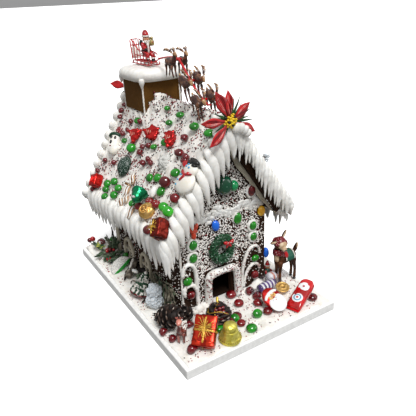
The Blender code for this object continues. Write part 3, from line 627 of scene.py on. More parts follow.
bm = bmesh.new()
low, high = box["board_icing"]
wide, long = int((high.x - low.x) / snow["step"]), int((high.y - low.y) / snow["step"])
bmesh.ops.create_grid(bm, x_segments=wide, y_segments=long, size=1.0)
for vert in bm.verts:
    x, y = vert.co.x * high.x, vert.co.y * high.y
    edge = min(high.x - abs(x), high.y - abs(y))
    if edge < 9:  # the rim is uneven, and rounds over onto the board
        pull = (9 - edge) / 9 * (0.1 + 1.1 * (0.5 + noise.noise(Vector((x / 17, y / 17, 9.0)))))
        x -= math.copysign(pull, x) if high.x - abs(x) < 9 else 0
        y -= math.copysign(pull, y) if high.y - abs(y) < 9 else 0
    z = groundZ(x, y) - 1.0 * max(0.0, 1 - edge / 3.0) ** 2
    vert.co = (x * mm, y * mm, max(z, box["cake_board"][1].z + 0.4) * mm)
floorZ = (box["cake_board"][1].z + 0.05) * mm
closeUnder(bm, lambda p: Vector((p.x, p.y, floorZ)))
finishPiece("groundSnow", bm, ["spreadRoyalIcing"], ["board_icing"])

# the snow on the roof

blanket = {"step": 2.2, "panelRise": 1.49, "lumps": ((34, 1.6), (11, 1.5), (4.5, 0.9), (2.4, 0.45))}


def roofRelief(x, y):
    # lumpy all over, and heaped round the chimney's foot and along the ridge
    lift = crumple(x * 1.6, y, blanket["lumps"], 2.0 if x < 0 else 7.0)
    low, high = box["chimney_left"][0], box["chimney_right"][1]
    away = math.hypot(max(low.x - x, x - high.x, 0), max(low.y - y, y - high.y, 0))
    lift += 6.0 * math.exp(-((away / 8.0) ** 2)) * (0.6 + 0.9 * noise.noise(Vector((x / 5, y / 5, 2.0))))
    for px, py, tall, wide in (
        (-52, -34, 7.0, 10.0), (-12, 62, 9.0, 11.0), (6, 66, 8.0, 8.0), (-26, 70, 5.0, 8.0),
    ):
        rough = 0.7 + 0.9 * noise.noise(Vector((x / 3.2, y / 3.2, 6.0)))
        lift += tall * rough * math.exp(-((x - px) ** 2 * 1.6 + (y - py) ** 2) / wide**2)
    return lift


def roofBack(part):
    return roof["back"] - roof["slant"] * part


bm = bmesh.new()
bmesh.ops.create_grid(
    bm, x_segments=int(2 * roof["eaveBack"][0] * 1.3 / blanket["step"]) // 2 * 2,
    y_segments=int((roof["back"] - roof["front"]) / blanket["step"]), size=1.0,
)
inner = bm.verts[:]
grown = bmesh.ops.extrude_face_region(bm, geom=bm.faces[:])["geom"]
outer = [v for v in grown if isinstance(v, bmesh.types.BMVert)]
panelTop = box["roof_left"][1].z
for verts, skin in ((inner, False), (outer, True)):
    for vert in verts:
        side, part = math.copysign(1, vert.co.x), abs(vert.co.x)
        y = roof["front"] + 3 + (roofBack(part) - 3 - roof["front"] - 3) * (vert.co.y + 1) / 2
        x = side * part * eave(y)[0]
        if not skin:  # the underside lies on the two panels
            vert.co = Vector((x * 0.86, y, panelTop + 0.6 - abs(x) * 0.86 * blanket["panelRise"])) * mm
            continue
        lift = roofRelief(x, y) - 0.8
        soft = 3.0 * max(0.0, 1.0 - part * 9) ** 2
        rim = 4.0 * max(0.0, part - 0.96) / 0.04
        sin, cos = math.sin(slope(y)), math.cos(slope(y))
        vert.co = Vector((x + side * sin * lift, y, roofZ(x, y) + cos * lift - soft - rim)) * mm
bmesh.ops.recalc_face_normals(bm, faces=bm.faces)
finishPiece("roofSnow", bm, ["spreadRoyalIcing"], ["roof_icing"])

# piped borders

rng = random.Random(12)
piping = {
    "rakeStrokes": 13,  # down each front edge
    "rakeWidth": 6.7,
    "rakeTips": ((0, 46), (18, 42), (36, 32), (46, 44), (56, 48), (70, 44), (84, 40), (96, 36), (106, 26)),
    "eaveStrands": 34,  # along each eave
    "eaveTips": (
        (0, 30), (0.04, 44), (0.1, 46), (0.2, 41), (0.3, 37), (0.38, 31), (0.5, 30), (0.65, 38), (1, 36),
    ),
    "eaveWidth": 5.3,
    "backShells": 11,
}


def lengthAt(pairs, spot):
    return float(np.interp(spot, [p[0] for p in pairs], [p[1] for p in pairs]))


bm = bmesh.new()
# the near side: plump leaves, each laid over the tail of the one above
leafShape = (0.35, 0.8, 1.0, 1.08, 1.05, 0.95, 0.8, 0.62, 0.44, 0.28, 0.1)
for i in range(piping["rakeStrokes"]):
    x = 1.0 + 7.9 * i + rng.uniform(-0.8, 0.8)
    part = i / piping["rakeStrokes"]
    top = roofZ(x, -112)
    fall = (50 - 8 * part) * rng.uniform(0.93, 1.07)
    drift = 12.0 - 3.0 * part + rng.uniform(-1, 1)
    back = 7.0 * (1 - part)
    size = rng.uniform(0.92, 1.08)
    path = [
        (-x, -107.0 + back, roofZ(x, -107) + 1.5), (-x + 1, -113.5, top - 1.5),
        (-x + 2.5, -118.5, top - 10), (-x + drift * 0.6, -120.5, top - fall * 0.55),
        (-x + drift, -118.5, top - fall),
    ]
    widths = [w * piping["rakeWidth"] * size for w in leafShape]
    draw(bm, "stroke", path, widths, flat=0.75)
# the far side: the same strokes, drawn out into thin drips
dripShape = (0.5, 0.95, 1.05, 1.0, 0.95, 0.8, 0.6, 0.4, 0.3, 0.24, 0.1)
for i in range(20):
    x = 2.0 + 5.3 * i + rng.uniform(-1, 1)
    top = roofZ(x, -112)
    fall = lengthAt(piping["rakeTips"], x) * rng.uniform(0.78, 1.12)
    path = [
        (x, -106.0, roofZ(x, -106) + 1.0), (x, -114, top - 2),
        (x - 0.5, -119, top - 9), (x - 1.5, -119.5, top - fall * 0.6),
        (x - 1.0 + rng.uniform(-1.5, 1.0), -118, top - fall),
    ]
    widths = [w * 5.2 * rng.uniform(0.85, 1.15) for w in dripShape]
    draw(bm, "stroke", path, widths, (1, 0, 0), 0.8, 0.1, i)
# the two heavy strokes that start at the ridge
for x, tipX, tipZ, size in ((-6, -5, 240, 5.8), (3, 2, 246, 5.4), (-14, -9, 232, 5.6)):
    path = [(x, -96, 293), (x, -111, 290), (x, -118, 276), (tipX, -118, tipZ)]
    draw(bm, "stroke", path, [w * size for w in leafShape], flat=0.85)
# the corners: long tails on the near side, a round blob on the far side
for x, z, tipX, tipZ, r in (
    (-98, 163, -93, 117, 5.6), (-104, 156, -95, 108, 5.8), (-106, 150, -101, 98, 5.6),
    (-107, 147, -106, 104, 5.0),
):
    path = [(x, -108, z + 2), (x, -115, z - 3), (x + 1, -119.5, z - 16), (tipX, -119, tipZ)]
    draw(bm, "stroke", path, [w * r for w in leafShape], flat=0.85)
for x, y, z, wide, tall in (
    (100, -114, 149, 8.0, 11.0), (105, -110, 143, 7.0, 11.0), (92, -115, 160, 7.5, 10.0),
):
    stamp(bm, "lump0", at(x, y, z) @ sized(wide, 7.0, tall))
finishPiece("rakeStrokes", bm, ["pipedRoyalIcing"], ["rake_icing_left", "rake_icing_right"])

bm = bmesh.new()
strandShape = (0.5, 0.9, 1.05, 1.05, 1.0, 0.95, 0.85, 0.7, 0.52, 0.34, 0.1)
for side in (-1, 1):
    count = piping["eaveStrands"]
    for i in range(count):
        part = (i + rng.uniform(-0.25, 0.25)) / (count - 1)
        y = roof["front"] + 4 + (roofBack(1.0) - roof["front"] - 8) * min(1, max(0, part))
        out, low = eave(y)
        tall = lengthAt(piping["eaveTips"], part) * rng.uniform(0.8, 1.15)
        if side > 0:
            tall *= 0.7 if part < 0.05 else 0.95
        fat = piping["eaveWidth"] * rng.uniform(0.85, 1.15)
        x = out + (-1.6 if i % 2 else 0.6)
        lean = rng.uniform(-2.5, 2.5)
        path = [
            Vector((side * (x - 9), y, low + 11)), Vector((side * (x - 1), y, low + 3)),
            Vector((side * (x + 0.6), y + lean * 0.2, low - 6)),
            Vector((side * (x - 0.5), y + lean * 0.6, low - tall * 0.6)),
            Vector((side * (x - 1.5), y + lean, low - tall)),
        ]
        widths = [w * fat for w in strandShape]
        draw(bm, "stroke", path, widths, (0, 1, 0), 0.75)
        if rng.random() < 0.55:  # a thin drip between two strands
            path = [p + Vector((side * -2.0, 4.0, 1.0)) for p in path]
            path[-1].z += tall * rng.uniform(0.1, 0.45)
            draw(bm, "stroke", path, [w * fat * 0.62 for w in strandShape], (0, 1, 0), 0.8)
finishPiece("eaveIcicles", bm, ["pipedRoyalIcing"], ["icicles_left", "icicles_right"])

bm = bmesh.new()
for side in (-1, 1):
    count = piping["backShells"]
    for i in range(count + 1):
        part = (i + 0.15) / (count + 0.3)
        y = roofBack(part)
        x = part * eave(y)[0]
        fat = 8.4 * rng.uniform(0.92, 1.08)
        top = roofZ(x, y)
        path = [
            (side * (x + 2), y - 6, top + 1), (side * (x + 3), y + 1, top - 1),
            (side * (x + 1), y + 3.2, top - 8), (side * (x - 3), y + 2, top - 18),
        ]
        widths = [w * fat for w in (0.45, 0.9, 1.05, 1.05, 0.95, 0.75, 0.5, 0.25)]
        draw(bm, "stroke", path, widths, (1, 0, 0), 0.85, 0.05, i)
stamp(bm, "ball", at(0, 179, 288) @ sized(11, 8, 9))
finishPiece("backShells", bm, ["pipedRoyalIcing"], ["shell_border_back"])

# the puffy cap of the chimney, its drips, and the white seams under it
cap = {"bulge": 14.0, "sag": 3.0, "seam": 1.3}
chimneyLow, chimneyHigh = box["chimney_left"][0], box["chimney_right"][1]
chimneyTop = chimneyHigh.z
middleX, middleY = (chimneyLow.x + chimneyHigh.x) / 2, (chimneyLow.y + chimneyHigh.y) / 2
halfX, halfY = (chimneyHigh.x - chimneyLow.x) / 2, (chimneyHigh.y - chimneyLow.y) / 2


def capBend(points):
    turn = np.arctan2(points[:, 1], points[:, 0])
    girth = np.hypot(points[:, 0], points[:, 1])
    reach = (np.abs(np.cos(turn)) ** 4 + np.abs(np.sin(turn)) ** 4) ** -0.25
    full = np.minimum(1.0, girth * 2.2) * reach
    puff = (cap["bulge"] + 0.6 * np.sin(turn * 5 + 1) + 0.5 * np.sin(turn * 9)) * girth
    x = middleX + (halfX - 2.0) * full * np.cos(turn) + puff * np.cos(turn)
    y = middleY + (halfY - 2.0) * full * np.sin(turn) + puff * np.sin(turn)
    low = chimneyTop - 1.5 - (cap["sag"] * np.abs(np.sin(turn * 3 + 0.4))) * np.clip(girth - 0.5, 0, 1)
    high = capTop - 0.6 + 0.5 * np.sin(x * 0.35) * np.cos(y * 0.3)
    share = 0.5 + 0.5 * points[:, 2]
    return np.stack([x, y, low + (high - low) * share], 1)


bm = bmesh.new()
part = bmesh.new()
bmesh.ops.create_uvsphere(part, u_segments=64, v_segments=32, radius=1.0)
keepShape("cap", part)
stamp(bm, "cap", bend=capBend)
for x, y, drop, r in (
    (chimneyLow.x - 1, chimneyLow.y - 2, 9, 4.5), (chimneyHigh.x + 1, chimneyLow.y - 2, 6, 3.6),
    (chimneyLow.x - 2, chimneyHigh.y + 2, 8, 4.0), (chimneyHigh.x + 1, chimneyHigh.y + 2, 7, 4.0),
):
    path = [(x, y, chimneyTop + 6), (x, y, chimneyTop), (x, y + 1, chimneyTop - drop)]
    draw(bm, "stroke", path, [w * r for w in (0.8, 1.0, 0.95, 0.75, 0.45, 0.2)])
finishPiece("chimneyCap", bm, ["pipedRoyalIcing"], ["chimney_cap"])

bm = bmesh.new()
seam = cap["seam"]
for x, y in (
    (chimneyLow.x + 0.5, chimneyLow.y + 0.5), (chimneyHigh.x - 3, chimneyLow.y + 0.5),
    (chimneyLow.x + 0.5, chimneyHigh.y - 0.5), (chimneyHigh.x - 3, chimneyHigh.y - 0.5),
):
    foot = roofZ(x, y) - 2
    path = [(x, y, chimneyTop + 3), (x, y, (foot + chimneyTop) / 2), (x, y, foot)]
    draw(bm, "rope", path, [w * seam for w in (1, 1.1, 0.9, 1, 0.85, 1, 1.1)], wobble=0.12, seed=x)
# the seams at the house's upright corners, all but the clean one at the right of the front
for side, y in ((-1, houseFront), (-1, houseBack), (1, houseBack)):
    path = [(side * (houseX - 0.5), y, 148), (side * (houseX - 0.5), y, ground - 1)]
    draw(bm, "rope", path, [w * 1.7 for w in (1, 0.8, 1.1, 0.6, 0.9, 0.8, 1.2)], wobble=0.2, seed=y)
finishPiece("cornerSeams", bm, ["spreadRoyalIcing"])

# under the overhanging front edge: the ribbed band of icing that holds the roof to the gable
gable = {"wide": 4.6}
bm = bmesh.new()
panelUnder = panelTop - 8 * math.hypot(1, blanket["panelRise"]) - 0.3
for side in (-1, 1):
    bandLine = (
        (3, 262), (11, 249), (17, 233), (23, 221), (36, 208), (46, 194), (53, 182), (60, 169), (70, 156),
        (84, 141), (97, 129),
    )
    path = [Vector((side * x, houseFront - 4.5, z)) for x, z in bandLine]
    widths = [w * gable["wide"] for w in (0.8, 1.0, 0.9, 1.15, 1.3, 1.0, 1.05, 0.8, 0.9, 0.6)]
    draw(bm, "rope", path, widths, (1, 0, 0), 0.35, 0.06, 1)
    for k in range(3):  # ribs left by the knife
        shift = Vector((side * (1.8 * k - 1.8), -1.4 + 0.5 * abs(k - 1), 1.6 * k - 1.6))
        draw(bm, "rope", [p + shift for p in path], [0.75, 0.9, 0.7, 1.0, 0.8], (1, 0, 0), 0.7, 0.2, k)
    # snow under the eave's corner, where the rake meets the wall
    path = [
        Vector((side * x, houseFront - 10.0, z))
        for x, z in ((63, 172), (74, 160), (86, 147), (96, 137), (101, 131))
    ]
    draw(bm, "rope", path, (1.5, 5.0, 6.5, 7.0, 5.0), (1, 0, 0), 0.5, 0.15, side, slot=1)
    for k in range(9):
        x, low = 76 + 3.2 * k, 4 + 7 * abs(noise.noise(Vector((k * 1.7, side, 3.0))))
        spot = Vector((side * x, houseFront - 10 - 0.6 * k, 161 - 1.1 * (x - 74)))
        draw(
            bm, "rope", [spot, spot - Vector((0, 1.0, 0.6 * low)), spot - Vector((0, 1.0, 6 + low))],
            (2.4, 2.8, 1.6, 0.3), flat=0.8, slot=1,
        )
    path = []
    for k in range(9):
        x = 3 + 84 * k / 8
        path.append(Vector((side * x, houseBack + 3.0, panelUnder - x * blanket["panelRise"] - 1.5)))
    draw(bm, "rope", path, [w * 3.4 for w in (0.6, 1, 1.15, 0.9, 1.1, 0.95, 0.6)], (0, 1, 0), 0.6)
finishPiece("gableSeam", bm, ["creamRoyalIcing", "pipedRoyalIcing"])

# the front wall: door, wreath, canes and sugar pearls

door = {"rope": 5.6}  # how thick the rope of icing round it is
rope = [
    (-32.6, ground - 1), (-32.8, 30), (-32.6, 55), (-31, 66), (-20, 69.5), (2, 69), (13, 68), (17.4, 60),
    (17.8, 40), (18.4, ground - 1),
]
bm = bmesh.new()
path = [Vector((x, houseFront - 5.6, z)) for x, z in rope]
widths = [door["rope"] * w for w in (0.95, 1.05, 0.95, 1.0, 1.1, 0.95, 1.0, 1.08, 1.0, 0.95, 1.05)]
draw(bm, "rope", path, widths, (0, 1, 0), 0.95, 0.05, 1)
finishPiece("doorRope", bm, ["pipedRoyalIcing"], ["door_frame"])

canes = {
    "left": [(-49, 19), (-49.5, 55), (-50, 78), (-53, 90), (-60, 96), (-67, 94), (-71, 86), (-71, 76)],
    "leftRing": [(-70, 46), (-71, 56), (-66, 62), (-58, 62), (-51, 55), (-49, 40)],
    "right": [(27, 19), (29, 42), (30, 60), (37, 80), (46, 89), (56, 88), (61, 80), (60, 72)],
    "rightInner": [(31, 24), (34, 42), (41, 54), (50, 60), (59, 55), (61, 46)],
}
bm = bmesh.new()
for i, (name, points) in enumerate(canes.items()):
    path = [Vector((x, houseFront - 2.6, z)) for x, z in points]
    fat = 3.3 if "left" in name else 2.5
    widths = [fat * w for w in (0.9, 1.0, 0.9, 1.05, 1.0, 1.1, 0.9, 0.8)]
    draw(bm, "rope", path, widths, (0, 1, 0), 0.9, 0.08, i * 2.0)
# white rings under the candies, and a small drift of icing beside the door
rings = [
    (-52, 122, 9.6, 11.0), (-53, 102, 9.8, 10.6), (49, 122, 9.4, 9.8), (50, 104, 9.2, 9.6),
    (46.5, 177, 9.2, 11.4), (21, 142, 6.4, 9.0),
]
for x, z, wide, high in rings:  # each ring is a puddle of icing with a piped lip
    stamp(bm, "ball", onFront(x, z, 0.4) @ sized(wide, high, 1.7))
    hoop = [
        onFront(x + wide * 0.84 * math.cos(k * 0.7), z + high * 0.84 * math.sin(k * 0.7), 1.4).translation
        for k in range(10)
    ]
    draw(bm, "rope", hoop, [1.9] * 8, (0, 1, 0), 0.9, 0.1, x)
for x, z, size in ((3, 104, 6.5), (6, 108, 5.0)):
    stamp(bm, "ball", onFront(x, z, 2.0) @ sized(size, size * 0.8, 2.0))
# the level band of snow where the gable begins, laid on in uneven dabs
gableBand = {"dabs": 150, "half": 66, "height": 157}
for i in range(gableBand["dabs"]):
    x = rng.uniform(-gableBand["half"], gableBand["half"])
    high = gableBand["height"] - 2.5 * math.sin(x * 0.14) + rng.gauss(0, 3.4)
    size = rng.uniform(1.6, 4.2)
    place = onFront(x, high, 0.0, turn=rng.uniform(-25, 25))
    stamp(bm, f"lump{i % 3}", place @ sized(size * 1.5, size * 0.8, 1.7))
finishPiece("wallPiping", bm, ["pipedRoyalIcing"])

wreath = {"middle": (-8.0, 104.0), "radius": 14.6, "fat": 5.4, "tufts": 460}
bm = bmesh.new()
ring = ringOf(wreath["radius"], wreath["fat"], 12, 48)
ruffle(ring, 2.6, 4.0)
middle = onFront(*wreath["middle"], 6.2) @ sized(1.0, 1.1, 0.85)
join(bm, ring, middle)
for i in range(wreath["tufts"]):
    turn, tube = rng.uniform(0, math.tau), rng.uniform(-0.6, math.pi + 0.6)
    reach = wreath["radius"] + wreath["fat"] * 0.92 * math.cos(tube)
    spot = Vector(onCircle(turn, reach, wreath["fat"] * 0.92 * math.sin(tube)))
    out = Vector(onCircle(turn, math.cos(tube), math.sin(tube)))
    along = Vector((-math.sin(turn), math.cos(turn), 0)) * rng.uniform(-1, 1)
    tip = spot + (out * 1.8 + along * 1.6 + Vector((0, 0, 0.4))).normalized() * rng.uniform(1.8, 3.4)
    lean = Vector((rng.uniform(-1, 1), rng.uniform(-1, 1), 0.3))
    draw(
        bm, "needle", [spot - out, tip], (0.9, 1.1, 0.9, 0.4), lean, 0.6, place=middle,
        slot=1 if i % 2 else 0,
    )
finishPiece("doorWreath", bm, ["mouldedGreenSugar", "frostedGreenSugar"], ["wreath"])

bm = bmesh.new()
bow = onFront(-0.5, 113.5, 12.0)
for side in (-1, 1):
    draw(
        bm, "blade", [(0, 0, 0), (side * 5, 1.5, 1.6), (side * 8.5, 4.0, 0)], (1.0, 2.4, 3.2, 2.8, 1.2),
        (0, 1, 0), 0.5, place=bow,
    )
    draw(
        bm, "blade", [(0, 0, 0), (side * 2.5, -4, 0.6), (side * 4.5, -7.5, -0.6)],
        (1.0, 1.6, 2.0, 1.8, 0.8), flat=0.4, place=bow,
    )
    draw(
        bm, "blade", [(side, 0.4, 1), (side * 4, 1.4, 2.4), (side * 7, 2.8, 1.4)],
        (0.5, 0.9, 0.9, 0.6, 0.2), (0, 1, 0), 0.5, place=bow, slot=1,
    )
stamp(bm, "bead", bow @ sized(2.0, 2.0, 1.8))
finishPiece("wreathBow", bm, ["bowSugarRed", "pipedRoyalIcing"])

bm = bmesh.new()
lump = onFront(4, 197)
part = spun([(0, 12.6), (6, 12.0), (10.4, 9.2), (12.0, 5.4), (12.2, 1.6), (11.4, 0.2), (0, 0)], 28)
ruffle(part, 0.7, 7.0)
join(bm, part, lump @ at(-4, 0, 0) @ sized(1, 1.14, 1))
part = spun([(0, 10.0), (3.8, 9.6), (6.4, 7.0), (7.4, 3.6), (7.2, 0.6), (6.6, 0.1), (0, 0)], 22)
ruffle(part, 0.5, 5.0)
join(bm, part, lump @ at(11, -4, 0) @ sized(1, 1.06, 1), 1)
finishPiece("gableJelly", bm, ["sugaredGreenJelly", "brightGreenJelly"], ["jelly_gable"])
bm = bmesh.new()
stamp(bm, "ball", lump @ at(11, -4, 1.2) @ sized(9.6, 9.8, 2.4))
for k in range(9):
    turn = k / 9 * math.tau
    stamp(bm, "bead", lump @ at(11 + 8 * math.cos(turn), -4 + 8 * math.sin(turn), 2.2) @ sized(2.2, 2.2, 1.6))
finishPiece("gableJellyRing", bm, ["pipedRoyalIcing"])

# a near-black gingerbread floor inside the house: painted shade, so the doorway looks dark
bm = bmesh.new()
(leftIn, frontIn), (rightIn, backIn) = (
    (box["wall_left"][1].x, box["wall_front"][1].y), (box["wall_right"][0].x, box["wall_back"][0].y),
)
part = block((rightIn - leftIn - 1, backIn - frontIn - 1, 2.4), 0.6, 3)
ruffle(part, 0.4, 12.0)
join(bm, part, at((leftIn + rightIn) / 2, (frontIn + backIn) / 2, ground + 2.0))
finishPiece("doorwayShadeFloor", bm, ["doorwayShadeBread"])

# sugar pearls: scattered by region, so that bare gingerbread shows where it should

pearls = {  # how many on each part, and how big they are
    "front": 5200,
    "sides": 900,
    "back": 2600,
    "doorRope": 230,
    "cane": 16,
    "size": (0.78, 1.1),
}
scatter = {"white": bmesh.new(), "red": bmesh.new(), "dark": bmesh.new()}


def pearl(kind, place, size):
    stamp(scatter[kind], "grain", place @ sized(size, size, size * 0.8))


def pearlColour(red, dark):
    return "red" if rng.random() < red else "dark" if rng.random() < dark else "white"


def onLine(points):
    # a chance spot on a line of icing, with the two points it lies between
    k = rng.uniform(0, len(points) - 1.001)
    a, b = points[int(k)], points[int(k) + 1]
    return a, b, a[0] + (b[0] - a[0]) * (k % 1), a[1] + (b[1] - a[1]) * (k % 1)


def wallTop(x):
    return panelUnder - abs(x) * blanket["panelRise"] - 2


def frontDensity(x, z):
    if doorway[0] - 6 < x < doorway[1] + 5 and z < 74:
        return 0.0
    broad, close = noise.noise(Vector((x / 15, z / 15, 3.0))), noise.noise(Vector((x / 5, z / 5, 8.0)))
    cloud = 0.5 + 0.5 * broad + 0.25 * close
    density = 0.62 + 0.5 * (cloud - 0.5)
    if abs(z - 157) < 8:
        density += 0.3
    if z > 190:
        density += 0.12
    if x > 24 and z < 92:
        density *= 0.12 + 0.5 * max(0.0, (z - 60) / 40)
    if x < -52 and z < 112:
        density *= 0.28
    if x > 62:
        density *= 0.45
    if x < -36 and z < 60:
        density *= 0.4
    return density


count = 0
while count < pearls["front"]:
    x, z = rng.uniform(-71, 71), rng.uniform(ground + 2, 252)
    if z > wallTop(x) or rng.random() > frontDensity(x, z):
        continue
    count += 1
    pearl(pearlColour(0.06, 0.06), onFront(x, z, 0.1), rng.uniform(*pearls["size"]))
count = 0
while count < pearls["back"]:
    x, z = rng.uniform(-71, 71), rng.uniform(ground + 2, 252)
    thin = 0.5 + 0.8 * noise.noise(Vector((x / 22, z / 22, 13.0)))
    if z > wallTop(x) or rng.random() > thin:
        continue
    count += 1
    pearl(pearlColour(0.08, 0.1), onBack(x, z, 0.1), rng.uniform(*pearls["size"]))
for side in (-1, 1):
    for _ in range(pearls["sides"]):
        y, z = rng.uniform(houseFront + 2, houseBack - 2), ground + 120 * rng.random() ** 1.6
        pearl(pearlColour(0.08, 0.1), onSide(side, y, z, 0.1), rng.uniform(*pearls["size"]))
for i in range(pearls["doorRope"]):  # on the door's rope and the canes
    a, b, x, z = onLine(rope)
    turn = rng.uniform(-1.25, 1.25)
    kind = "dark" if i % 3 == 0 else "red"
    side = Vector((b[1] - a[1], 0, a[0] - b[0])).normalized()
    out = side * math.sin(turn) + Vector((0, -1, 0)) * math.cos(turn)
    spot = Vector((x, houseFront - 5.6, z)) + out * door["rope"]
    pearl(kind, Matrix.Translation(spot), rng.uniform(0.75, 1.0))
for name, points in canes.items():
    for _ in range(pearls["cane"]):
        a, b, x, z = onLine(points)
        pearl("red", Matrix.Translation((x + rng.uniform(-2, 2), houseFront - 4.8, z)), 0.8)
# on the roof: dark red and nearly black, in drifts
sprinkles = {"left": 2000, "right": 1300, "ground": 640}
for side, amount in ((-1, sprinkles["left"]), (1, sprinkles["right"])):
    count = 0
    while count < amount:
        x, y = side * rng.uniform(1, 104), rng.uniform(roof["front"] + 6, roof["back"] - 20)
        drift = 0.36 + 0.95 * noise.noise(Vector((x / 15, y / 15, 5.0)))
        if rng.random() > drift:
            continue
        count += 1
        lift = roofRelief(x, y) - 0.8
        pearl("red" if rng.random() < 0.55 else "dark", onRoof(x, y, lift - 0.4), rng.uniform(0.85, 1.25))
for px, py, amount, spread in (
    (-62, -92, 60, 9), (-53, 33, 45, 8), (-10, 30, 70, 22), (-96, -45, 30, 8), (-58, 84, 50, 9),
):
    for _ in range(amount):
        x, y = px + rng.gauss(0, spread), py + rng.gauss(0, spread)
        if x < -2:
            kind = "red" if rng.random() < 0.6 else "dark"
            pearl(kind, onRoof(x, y, roofRelief(x, y) - 1.2), rng.uniform(0.85, 1.25))
count = 0
while count < sprinkles["ground"]:
    x, y = rng.uniform(-118, 118), rng.uniform(-186, 186)
    if abs(x) < houseX + 1 and houseFront - 1 < y < houseBack + 1:
        continue
    more = 0.25 if y < -95 and x > -20 else 0  # thicker before the door
    if rng.random() > 0.25 + 0.9 * noise.noise(Vector((x / 24, y / 24, 5.0))) + more:
        continue
    count += 1
    pearl("red" if rng.random() < 0.7 else "dark", at(x, y, groundZ(x, y) + 0.3), rng.uniform(0.75, 1.05))
for kind, finish in (("white", "sugarPearlWhite"), ("red", "sugarPearlRed"), ("dark", "sugarPearlDark")):
    finishPiece(kind + "Pearls", scatter[kind], [finish])

# small sweets

sweets = {
    name: bmesh.new() for name in ("green", "pale", "red", "jelly", "blue", "yellow", "orange", "sprinkled")
}
# how a sweet lies on the slope: tipped level, turned to the front, or flat on the snow
lies = {"flat": (0, 0), "level": (-40, 6), "front": (-8, 42), "half": (-18, 18)}


def roofSweet(kind, x, y, radius, lie="half"):
    # a lentil is two thirds as thick as its radius; a jelly is a torn lump
    y = max(y, roof["front"] + 10)
    tip, roll = lies[lie]
    radius *= 1.2
    thick = radius * (0.8 if kind == "jelly" else 0.66)
    lift = roofRelief(x, y) - 0.6 + thick * (0.45 if lie == "flat" else 0.8)
    place = onRoof(x, y, lift) @ at(0, 0, 0, turn=rng.uniform(-12, 12), tip=tip, roll=roll)
    shape = f"lump{rng.randrange(lumpShapes)}" if kind == "jelly" else "smooth"
    long = radius * (rng.uniform(0.72, 0.95) if kind == "jelly" else 0.93)
    stamp(
        sweets[kind], shape,
        place @ Matrix.Rotation(rng.uniform(-0.5, 0.5), 4, "Z") @ sized(radius, long, thick),
    )


leftSlope = {
    "green": [
        (-30, 91, 4.9), (-51, 106, 4.3), (-54, 70, 6.5, "front"), (-38, -12, 5.0, "front"),
        (-45, 10, 4.5, "level"), (-69, -16, 5.6, "flat"), (-66, -36, 5.6, "flat"), (-74, -60, 6.1, "flat"),
        (-56, -73, 5.8), (-11, 29, 4.0, "level"), (-13, -16, 5.2, "level"), (-22, 1, 4.6, "level"),
        (-18, -63, 6.0, "level"), (-19, -100, 6.0, "level"), (-92, 93, 5.6), (-97, 89, 5.0),
        (-87, 73, 5.5), (-90, 53, 5.3), (-103, 82, 5.2), (-97, 55, 5.6),
        (-94, -7, 5.4, "level"), (-102, 158, 4.0),
    ],
    "pale": [(-83, -85, 5.8, "front"), (-84, -110, 6.2, "front"), (-53, 73, 3.6, "front")],
    "red": [
        (-66, -62, 6.9, "front"), (-41, -61, 5.8, "level"), (-73, -119, 5.7, "front"), (-104, -78, 6.0),
    ],
    "sprinkled": [(-85, -46, 5.2), (-84, -66, 5.2), (-93, -26, 5.2)],
    "jelly": [
        (-21, 160, 4.2), (-27, 152, 4.4), (-33, 151, 4.0), (-33, 111, 4.0),
        (-30, 79, 4.4), (-46, 119, 4.4), (-46, 25, 4.6), (-54, 39, 4.4),
        (-56, 7, 4.2), (-58, -2, 4.2), (-61, 15, 4.6), (-75, 137, 4.2),
        (-73, 109, 4.4), (-87, 150, 4.2), (-104, 133, 4.4), (-29, -55, 5.2, "level"),
        (-42, -79, 5.2), (-45, -80, 5.0), (-49, 40, 3.6), (-41, 112, 3.6),
    ],
}
for kind, spots in leftSlope.items():
    for spot in spots:
        roofSweet(kind, *spot)
# the far slope has the same mixture: the amounts are running totals, and none lies close to another
farSlope = {"green": 24, "red": 37, "jelly": 53, "pale": 57, "sprinkled": 61}
sweetGap = 15
placed = []
for kind, upTo in farSlope.items():
    for _ in range(900):
        x, y = rng.uniform(14, 100), rng.uniform(-98, 150)
        low, high = box["chimney_left"][0], box["chimney_right"][1]
        if x < high.x + 8 and y > low.y - 8 or any(math.hypot(x - a, y - b) < sweetGap for a, b in placed):
            continue
        placed.append((x, y))
        roofSweet(kind, x, y, rng.uniform(4.6, 6.4), rng.choice(("half", "flat", "level")))
        if len(placed) >= upTo:
            break


def wallSweet(kind, place, wide, high, deep=4.0, turn=0.0):
    stamp(sweets[kind], "smooth", place @ Matrix.Rotation(turn, 4, "Z") @ sized(wide, high, deep))


wallSweet("blue", onFront(-15, 141, 2.6), 5.9, 8.2, 4.2, 0.15)
wallSweet("green", onFront(22.0, 141.5, 2.4), 7.0, 8.8, 4.4)
wallSweet("yellow", onFront(64, 141.5, 2.6), 6.4, 8.2, 4.4)
for x, z, size in ((-52, 122, 6.2), (-53, 102, 6.2), (49, 122, 6.0), (50, 104, 5.8)):
    wallSweet("green", onFront(x, z, 2.6), size, size * 1.08, 3.9)
wallSweet("red", onFront(46.5, 178, 3.0), 6.0, 8.2, 4.2)
wallSweet("pale", lump @ at(11, -4, 4.0), 6.4, 6.6, 3.4)
wallSweet("green", onFront(-64, 69, 2.8), 7.2, 6.6, 4.2, 0.3)
wallSweet("red", onFront(-60, 45, 2.8), 6.6, 6.2, 4.2)
wallSweet("green", onFront(53, 67, 2.8), 6.4, 5.2, 4.0)
wallSweet("red", onFront(52, 38, 2.8), 7.0, 6.8, 4.4)
wallSweet("blue", onSide(1, -93, 67, 3.4), 5.2, 8.6, 4.6)
